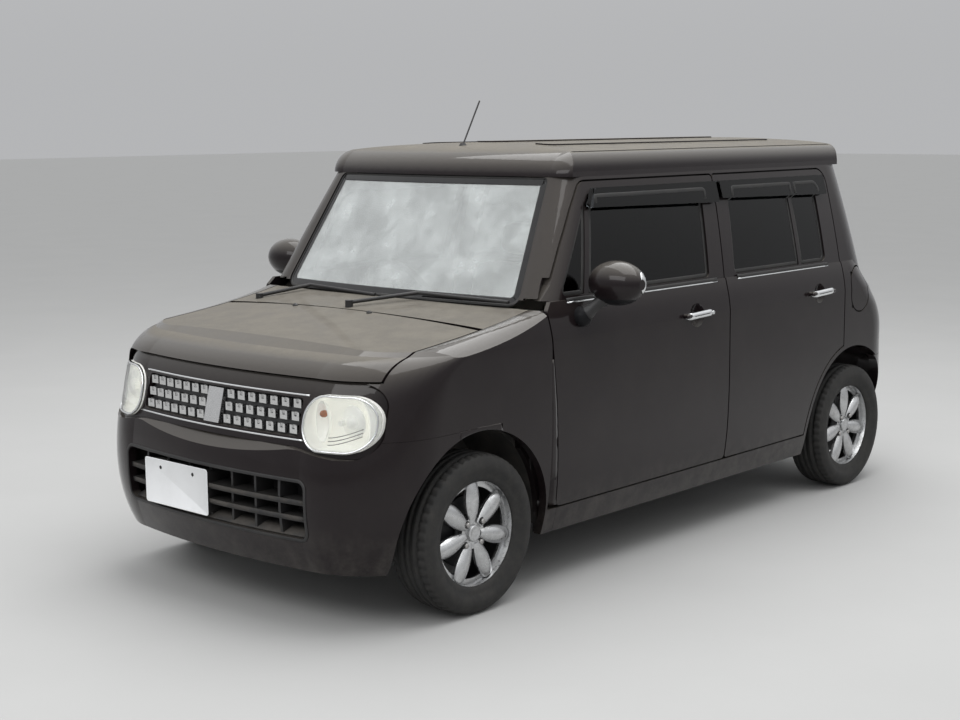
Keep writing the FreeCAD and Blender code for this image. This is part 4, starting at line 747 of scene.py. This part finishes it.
# Door handles.
def handles():
    """Plated pull handles over the doors' bars, with the lock at the rear end of the front ones."""
    count = 14
    for side, sign in SIDES:
        out = Vector((sign, 0, 0))
        for end, (middle, level) in zip(ENDS, HANDLE_PLACES):
            body = f"door_{end}_{side}"
            points = []
            sizes = []
            for step in range(count + 1):
                share = 2 * step / count - 1
                sink = HANDLE_SINK * max(0.0, abs(share) - 0.72) / 0.28
                points.append(Vector((sign * (HANDLE_X - sink), middle + share * HANDLE_HALF,
                                      level + HANDLE_RISE * share)))
                sizes.append(1.0 - 0.55 * max(0.0, abs(share) - 0.82) / 0.18)
            section = round_section(*HANDLE_SECTION)
            sweep(f"handle_{end}_{side}", points, section, out, CHROME, body, sizes=sizes)
            line = [point + out * 0.0092 for point in points[3:12]]
            sweep(f"handle_line_{end}_{side}", line, strip_section(0.004, 0.0007), out, TRIM, body)
        x, y, z = LOCK_PLACE
        place = Vector((sign * x, y, z))
        lathe(f"door_lock_{side}", LOCK_PROFILE, [place], out, CHROME, f"door_front_{side}", 24)


# Lamps, grille lines and number plate.
def indicator(side, sign):
    """The oval bowl of the indicator at the lamp's inner side, with its amber bulb."""
    x, y, z = INDICATOR_PLACE
    inner = Vector((sign * x, y, z))
    half_x, half_z = INDICATOR_HALF
    bowl = []
    for depth, size in INDICATOR_BOWL:
        bowl.append(turned_ring(inner + BACKWARD * depth, half_x * size, half_z * size, 32))
    new_piece(f"indicator_bowl_{side}", [bowl], REFLECTOR, "root", True)
    bulb = inner + Vector((0, 0.018, 0.024))
    lathe(f"indicator_bulb_{side}", INDICATOR_BULB, [bulb], BACKWARD, AMBER, "root", 20)


def lens_flutes(side, sign, meet):
    """Three curved flutes low in the lens, just behind its outer surface."""
    groups = []
    count = 12
    for offset in FLUTE_LEVELS:
        starts = []
        for step in range(count + 1):
            share = step / count
            starts.append(Vector((sign * (FLUTE_START[0] + FLUTE_LENGTH * share), -AHEAD,
                                  FLUTE_START[1] + offset + FLUTE_RISE * share ** 1.6)))
        places = laid_points(starts, meet, BACKWARD)[0]
        line = [place + BACKWARD * LENS_THICKNESS for place in places]
        groups.append(rows_along(line, round_section(FLUTE_RADIUS, 6), -BACKWARD))
    new_piece(f"lens_flutes_{side}", groups, GLASS_EDGE, "root")


def lamp_details():
    """Plated ring, indicator, bulb with its shield and ring, and flutes of each headlamp."""
    meet = surface("headlamp_lenses")
    for side, sign in SIDES:
        lens = [points for points in islands("headlamp_lenses") if points[0].x * sign > 0][0]
        starts = [Vector((x, -AHEAD, z)) for x, z in border(lens, 0, 2, LAMP_RING_INSET)]
        places, normals = laid_points(starts, meet, BACKWARD)
        sweep(f"lamp_ring_{side}", places, round_section(LAMP_RING_RADIUS, 8), normals, CHROME, "root",
              True)
        indicator(side, sign)
        x, y, z = BULB_PLACE
        main = Vector((sign * x, y, z))
        ring_place = main - BACKWARD * 0.004
        lathe(f"bulb_shield_{side}", BULB_SHIELD, [main], BACKWARD, REFLECTOR, "root", 28)
        lathe(f"bulb_ring_{side}", BULB_RING, [ring_place], BACKWARD, REFLECTOR, "root", 36)
        lens_flutes(side, sign, meet)


def grille_lines():
    """Thin bright mouldings above and below the grille."""
    meet = surface("front_mask", "grille", "headlamp_lenses", "headlamps")
    section = strip_section(*GRILLE_LINE_SECTION)
    count = 56
    for name, level in (("upper", GRILLE_TOP_LINE), ("lower", GRILLE_LOW_LINE)):
        starts = []
        for step in range(count + 1):
            starts.append(Vector((GRILLE_LINE_HALF * (2 * step / count - 1), -AHEAD, level)))
        places, normals = laid_points(starts, meet, BACKWARD)
        sweep(f"grille_line_{name}", places, section, normals, CHROME, "root")


def number_plate():
    """A blank white plate in a thin black holder, with two fastening screws."""
    middle = Vector(PLATE_PLACE)
    half_x, half_z = PLATE_SIZE[0] / 2, PLATE_SIZE[1] / 2

    def ring(shrink, depth):
        corner = PLATE_CORNER - shrink
        outline = rounded_outline(half_x - shrink, -half_z + shrink, half_z - shrink, corner, 5)
        return [middle + Vector((x, depth, z)) for x, z in outline]

    plate = [ring(shrink, depth) for shrink, depth in PLATE_RINGS]
    new_piece("number_plate", [plate], PLATE_WHITE, "root")
    holder = [ring(shrink, depth) for shrink, depth in HOLDER_RINGS]
    new_piece("plate_holder", [holder], TRIM, "root")
    screws = [middle + Vector((x, 0, z)) for x, z in SCREW_PLACES]
    lathe("plate_screws", SCREW_PROFILE, screws, BACKWARD, DARK_STEEL, "root", 18)


# Mirrors and washers.
def mirror_glass(side, sign, meet):
    """The silvered glass on the mirror head's rear face."""
    rows = []
    half_x, half_z = MIRROR_GLASS_HALF
    middle = Vector((sign * MIRROR_X, 0.5, MIRROR_LEVEL))
    for size, proud in MIRROR_GLASS_RINGS:
        starts = turned_ring(middle, sign * half_x * size, half_z * size, 40)
        places = laid_points(starts, meet, -BACKWARD)[0]
        rows.append([place + BACKWARD * proud for place in places])
    new_piece(f"mirror_glass_{side}", [rows], MIRROR_SILVER, f"door_front_{side}")


def mirror_lamp(side, sign, meet):
    """The side lamp let into the mirror head's outer end, and its black rim."""
    out = Vector((sign * MIRROR_LAMP_WAY[0], MIRROR_LAMP_WAY[1], 0.0)).normalized()
    across = Vector((-out.y, out.x, 0))
    x, y, z = MIRROR_LAMP_CENTRE
    tip = meet(Vector((sign * x, y, z)) + out * 0.3, -out)[0]
    steps = 36
    for name, reach, material, slot, rings in (
            ("mirror_lamp_rim", 0.0420, TRIM, "trim", MIRROR_RIM_RINGS),
            ("mirror_lamp", 0.0375, LENS_SILVER, "lens", MIRROR_LAMP_RINGS)):
        rows = []
        for size, proud in rings:
            row = []
            for step in range(steps):
                turn = math.tau * step / steps
                start = tip + out * 0.2 + across * (reach * MIRROR_LAMP_FLAT * size * math.cos(turn))
                start.z += reach * size * math.sin(turn)
                found, normal = meet(start, -out)
                place = found + normal * proud
                place.x = sign * min(abs(place.x), MIRROR_REACH)
                row.append(place)
            rows.append(row)
        new_piece(f"{name}_{side}", [rows], material, f"door_front_{side}")


def mirror_details():
    """Glass, side lamp and the thick black neck of each door mirror."""
    for side, sign in SIDES:
        meet = surface(f"mirror_{side}")
        mirror_glass(side, sign, meet)
        mirror_lamp(side, sign, meet)
        foot, middle, head = [Vector((sign * x, y, z)) for x, y, z in MIRROR_NECK]
        bend = [foot.lerp(middle, step / 4) for step in range(4)]
        bend += [middle.lerp(head, step / 4) for step in range(5)]
        sweep(f"mirror_neck_{side}", bend, round_section(NECK_RADIUS, 16), Vector((sign, 0, 0)), TRIM,
              f"door_front_{side}", sizes=NECK_SIZES)


def washers():
    """Two washer nozzles at the bonnet's rear edge."""
    meet = surface("bonnet", "cowl")
    places = laid_points([Vector((x, y, OUTSIDE)) for x, y in WASHER_PLACES], meet, Vector((0, 0, -1)))[0]
    lathe("washer_nozzles", WASHER_PROFILE, places, Vector((0, -0.25, 1)), TRIM, "bonnet", 20)


# The fender's open edges and the lower intake.
def panel_rows(grid, sign, thickness):
    """Rings of a thin panel: each row of outer points, closed by the same points moved inward."""
    inward = Vector((-sign * thickness, 0, 0))
    return [row + [point + inward for point in reversed(row)] for row in grid]


def wall_reach(meet, sign, y, z):
    """How far out a surface lies at a place on the car's side, or 0 where there is none."""
    hit = meet(Vector((sign * OUTSIDE, y, z)), Vector((-sign, 0, 0)))
    return abs(hit[0].x) if hit else 0.0


def fender_lip(side, sign, meet):
    """The panel between the fender's lower edge and the wheel opening's arc."""
    grid = []
    steps = 18
    for step in range(steps + 1):
        y = LIP_START + (LIP_END - LIP_START) * step / steps
        arch = AXLE_LEVEL + math.sqrt(ARCH_RADIUS ** 2 - (y - FRONT_AXLE) ** 2) + 0.001
        level = arch
        while wall_reach(meet, sign, y, level) < OUTER_FACE_X and level < LIP_TOP:
            level += 0.002
        top = wall_reach(meet, sign, y, level + 0.004)
        slope = (wall_reach(meet, sign, y, level + 0.034) - top) / 0.030
        row = []
        for part in range(5):
            z = arch + (level + 0.001 - arch) * part / 4
            row.append(Vector((sign * (top + slope * (z - level - 0.004)), y, z)))
        grid.append(row)
    new_piece(f"fender_lip_{side}", [panel_rows(grid, sign, 0.004)], BODY_PAINT, "root")


def fender_edge(side, sign, meet, door):
    """A strip that carries the fender back to the front door's shut line, where the gap is wide."""
    levels = 30
    places = [step / 500 for step in range(-450, -340)]
    grid = []
    for step in range(levels + 1):
        z = EDGE_LOW + (EDGE_HIGH - EDGE_LOW) * step / levels
        body_y = max((y for y in places if wall_reach(meet, sign, y, z) > WALL_X), default=None)
        door_y = min((y for y in places if wall_reach(door, sign, y, z) > WALL_X), default=None)
        if body_y is None or door_y is None or door_y - body_y < 2 * EDGE_CLEAR:
            continue
        first = wall_reach(meet, sign, body_y - 0.002, z)
        last = wall_reach(door, sign, door_y + 0.002, z)
        row = []
        for part in range(4):
            share = part / 3
            y = body_y - 0.001 + (door_y - EDGE_CLEAR - body_y) * share
            row.append(Vector((sign * (first + (last - first) * share), y, z)))
        grid.append(row)
    new_piece(f"fender_edge_{side}", [panel_rows(grid, sign, 0.002)], BODY_PAINT, "root")


def fender_edges():
    """The fender's lip over the wheel opening, and its rear edge up to the front door's shut line."""
    for side, sign in SIDES:
        meet = surface("front_fenders", f"body_side_{side}")
        fender_lip(side, sign, meet)
        fender_edge(side, sign, meet, surface(f"door_front_{side}"))


def intake_lip(bumper):
    """A raised lip round the lower intake, kept inside the car's length."""
    outline = rounded_outline(INTAKE_HALF + INTAKE_MARGIN, INTAKE_LOW - INTAKE_MARGIN,
                              INTAKE_HIGH + INTAKE_MARGIN, INTAKE_CORNER, 7)
    starts = []
    for index, point in enumerate(outline):
        after = outline[(index + 1) % len(outline)]
        parts = max(1, round(math.dist(point, after) / 0.02))
        for part in range(parts):
            x = point[0] + (after[0] - point[0]) * part / parts
            z = point[1] + (after[1] - point[1]) * part / parts
            starts.append(Vector((x, -AHEAD, z)))
    places, normals = laid_points(starts, bumper, BACKWARD)
    rows = rows_along(places, strip_section(0.011, 0.0032), normals, True)
    for row in rows:
        for point in row:
            point.y = max(point.y, LOW.y + 0.0004)
    new_piece("intake_lip", [rows], TRIM, "root", True)


def intake_details():
    """The lip round the lower intake, dusty edges on its slats and the dusty shelf at its foot."""
    bumper = surface("front_bumper")
    slats = surface("lower_grille")
    intake_lip(bumper)
    groups = []
    for level in SLAT_LEVELS:
        starts = [Vector((SLAT_HALF * (step / 20 - 1), -AHEAD, level)) for step in range(41)]
        places = laid_points(starts, slats, BACKWARD)[0]
        places = [place - BACKWARD * 0.0005 for place in places if place.y < SLAT_REAR]
        groups.append(rows_along(places, SLAT_SECTION, -BACKWARD))
    new_piece("slat_edges", groups, SHELF_TRIM, "root")
    starts = [Vector((SHELF_HALF * (step / 15 - 1), -AHEAD, INTAKE_LOW - 0.004)) for step in range(31)]
    down = Vector((0, 0, -SHELF_THICKNESS))
    shelf = []
    for place in laid_points(starts, bumper, BACKWARD)[0]:
        front = Vector((place.x, place.y + SHELF_FRONT[0], INTAKE_LOW + SHELF_FRONT[1]))
        back = Vector((place.x, place.y + SHELF_BACK[0], INTAKE_LOW + SHELF_BACK[1]))
        shelf.append([front, back, back + down, front + down])
    new_piece("intake_shelf", [shelf], SHELF_TRIM, "root")


# Wheels.
def wheel_details():
    """Lug nuts in their seats and a plain centre cap on each rim."""
    for end in ENDS:
        for side, sign in SIDES:
            centre = wheel_centre(end, side)
            out = Vector((sign, 0, 0))
            body = f"wheel_{end}_{side}"
            meet = surface(f"rim_{end}_{side}")
            far = Vector((sign * OUTSIDE, centre.y, centre.z))
            starts = []
            for quarter in range(4):
                angle = math.pi / 4 + math.pi / 2 * quarter
                starts.append(far + Vector((0, math.cos(angle), math.sin(angle))) * NUT_CIRCLE)
            nuts = laid_points(starts, meet, -out)[0]
            lathe(f"nut_seats_{end}_{side}", NUT_SEAT, nuts, out, DARK_STEEL, body, 20)
            lathe(f"lug_nuts_{end}_{side}", NUT_PROFILE, nuts, out, STEEL, body, 6)
            hub = meet(far, -out)[0]
            lathe(f"wheel_cap_{end}_{side}", CAP_PROFILE, [hub], out, ALLOY_CAP, body, 32)


def tyres():
    """Tyres with ribs, shoulder sipes, a bulged wall and a rim protector."""
    half = TYRE_BEAD + TYRE_WALL + TYRE_TREAD
    outline = [(-share * TYRE_HALF_WIDTH, radius, cut) for share, radius, cut in half]
    outline += [(share * TYRE_HALF_WIDTH, radius, cut) for share, radius, cut in reversed(half)]
    for end in ENDS:
        for side, sign in SIDES:
            centre = wheel_centre(end, side)
            rings = []
            for step in range(TYRE_STEPS):
                turn = math.tau * step / TYRE_STEPS
                sunk = SIPE_DEPTH if step % 4 == 0 else 0.0
                ring = []
                for across, radius, cut in outline:
                    depth = radius - sunk * cut
                    ring.append(centre + Vector((across, depth * math.cos(turn), depth * math.sin(turn))))
                rings.append(ring)
            name = f"tyre_{end}_{side}"
            made = new_piece(f"{name}_tread", [rings], TYRE_RUBBER, f"wheel_{end}_{side}", True)
            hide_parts(f"tyre_{end}_{side}")


# Seats.
def signed_power(value, power):
    """A power of the value's size, with the value's sign."""
    return math.copysign(abs(value) ** power, value)


def cushion(middle, half, lean=0.0, crown=0.35, edge=0.42, channels=2):
    """A crowned closed pad with sewn channels along it; `lean` tips it back round its width."""
    around, along = 56, 30
    rows = []
    for ring in range(1, along):
        rise = math.pi * (ring / along - 0.5)
        reach = math.cos(rise) ** edge
        level = half.z * signed_power(math.sin(rise), edge)
        row = []
        for step in range(around):
            turn = math.tau * step / around
            x = half.x * signed_power(math.cos(turn), crown) * reach
            y = half.y * signed_power(math.sin(turn), crown) * reach
            pinch = 1 - 0.05 * (1 - (y / half.y) ** 2) if abs(x) > half.x * 0.9 else 1.0
            groove = 0.0
            for channel in range(channels):
                seam = half.x * (2 * (channel + 1) / (channels + 1) - 1)
                groove += CHANNEL_DEPTH * math.exp(-((x - seam) / CHANNEL_WIDTH) ** 2)
            thickness = level - math.copysign(min(groove, abs(level) * 0.5), level)
            row.append(middle + Matrix.Rotation(lean, 3, "X") @ Vector((x * pinch, y, thickness)))
        rows.append(row)
    return rows


def seats():
    """Padded bases, backs and headrests of the front and rear seats."""
    for node, places, half_width, base_share in SEATS:
        low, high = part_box(node)
        depth = high.y - low.y
        base_top = low.z + base_share * (high.z - low.z)
        base_half = Vector((half_width, depth * PAD_SHARE, SEAT_BASE_HALF))
        back_half = Vector((half_width, (high.z - base_top) * PAD_SHARE, SEAT_BACK_HALF))
        for number, x in enumerate(places):
            base_middle = Vector((x, low.y + depth * BASE_MIDDLE, base_top - BASE_SINK))
            back_middle = Vector((x, high.y - depth * BACK_MIDDLE, base_top + back_half.y * BACK_RISE))
            rest_middle = Vector((x, high.y - HEADREST_DROP[0], high.z - HEADREST_DROP[1]))
            rest = cushion(rest_middle, Vector(HEADREST_HALF), HEADREST_LEAN, 0.6, 0.5, 0)
            for part, rows in (("base", cushion(base_middle, base_half, BASE_LEAN)),
                               ("back", cushion(back_middle, back_half, BACK_LEAN)), ("headrest", rest)):
                made = new_piece(f"{node}_{part}_{number}", [rows], SEAT_CLOTH, "root")
                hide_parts(node)


side_seals()
belt_strips()
glass_borders()
handles()
lamp_details()
grille_lines()
number_plate()
mirror_details()
washers()
fender_edges()
intake_details()
wheel_details()
tyres()
seats()

# Floor, light and camera.
FLOOR_HALF = 60.0
floor_mesh = bpy.data.meshes.new("studio_floor")
corners = [(a * FLOOR_HALF, b * FLOOR_HALF, 0) for a, b in ((-1, -1), (1, -1), (1, 1), (-1, 1))]
floor_mesh.from_pydata(corners, [], [(0, 1, 2, 3)])
floor = bpy.data.objects.new("studio_floor", floor_mesh)
bpy.context.scene.collection.objects.link(floor)
floor_material, floor_wires, floor_shader = shader_material("pale_floor")
floor_wires.join(floor_wires.mix(floor_wires.noise(1.5, 4, 0.6), (0.38, 0.38, 0.375), (0.41, 0.41, 0.405)),
                 floor_shader.inputs["Base Color"])
floor_shader.inputs["Roughness"].default_value = 0.85
floor_mesh.materials.append(floor_material)

world = bpy.data.worlds.new("studio_sky")
world.use_nodes = True
bpy.context.scene.world = world
world_wires = Wires(world.node_tree)
sky = world.node_tree.nodes["Background"]
height = world_wires.ramp(world_wires.place("Z", "Generated"), 0.02, 0.62)
world_wires.join(world_wires.mix(height, (0.46, 0.465, 0.475), (0.98, 0.99, 1.0)), sky.inputs["Color"])
sky.inputs["Strength"].default_value = 1.0


def soft_light(name, place, target, size, power):
    """A rectangular area light aimed at a target."""
    lamp = bpy.data.lights.new(name, "AREA")
    lamp.shape = "RECTANGLE"
    lamp.size, lamp.size_y = size
    lamp.energy = power
    made = bpy.data.objects.new(name, lamp)
    made.location = place
    made.rotation_euler = (Vector(target) - Vector(place)).to_track_quat("-Z", "Y").to_euler()
    bpy.context.scene.collection.objects.link(made)


soft_light("top_softbox", (0.3, 0.6, 5.5), (0, 0, 0.8), (7.0, 5.0), 330)
soft_light("front_softbox", (1.0, -6.0, 4.6), (0, -1.0, 0.6), (6.0, 2.4), 120)

SENSOR_WIDTH = 36
FOCAL_PIXELS = 1564.5
PHOTO_WIDTH = 960
CAMERA_PLACE = Vector((4.0153, -4.7885, 1.5849))
CAMERA_YAW, CAMERA_PITCH, CAMERA_ROLL = -0.7353, -0.1516, -0.0067
flat_reach = math.cos(CAMERA_PITCH)
forward = Vector((flat_reach * math.sin(CAMERA_YAW), flat_reach * math.cos(CAMERA_YAW),
                  math.sin(CAMERA_PITCH)))
level_right = forward.cross(Vector((0, 0, 1))).normalized()
level_up = level_right.cross(forward)
right = math.cos(CAMERA_ROLL) * level_right + math.sin(CAMERA_ROLL) * level_up
up = -math.sin(CAMERA_ROLL) * level_right + math.cos(CAMERA_ROLL) * level_up
camera_data = bpy.data.cameras.new("photo_camera")
camera_data.sensor_width = SENSOR_WIDTH
camera_data.lens = SENSOR_WIDTH * FOCAL_PIXELS / PHOTO_WIDTH
camera = bpy.data.objects.new("photo_camera", camera_data)
camera.matrix_world = Matrix.Translation(CAMERA_PLACE) @ Matrix((right, up, -forward)).transposed().to_4x4()
bpy.context.scene.collection.objects.link(camera)
bpy.context.scene.camera = camera
bpy.context.scene.view_settings.view_transform = "Standard"
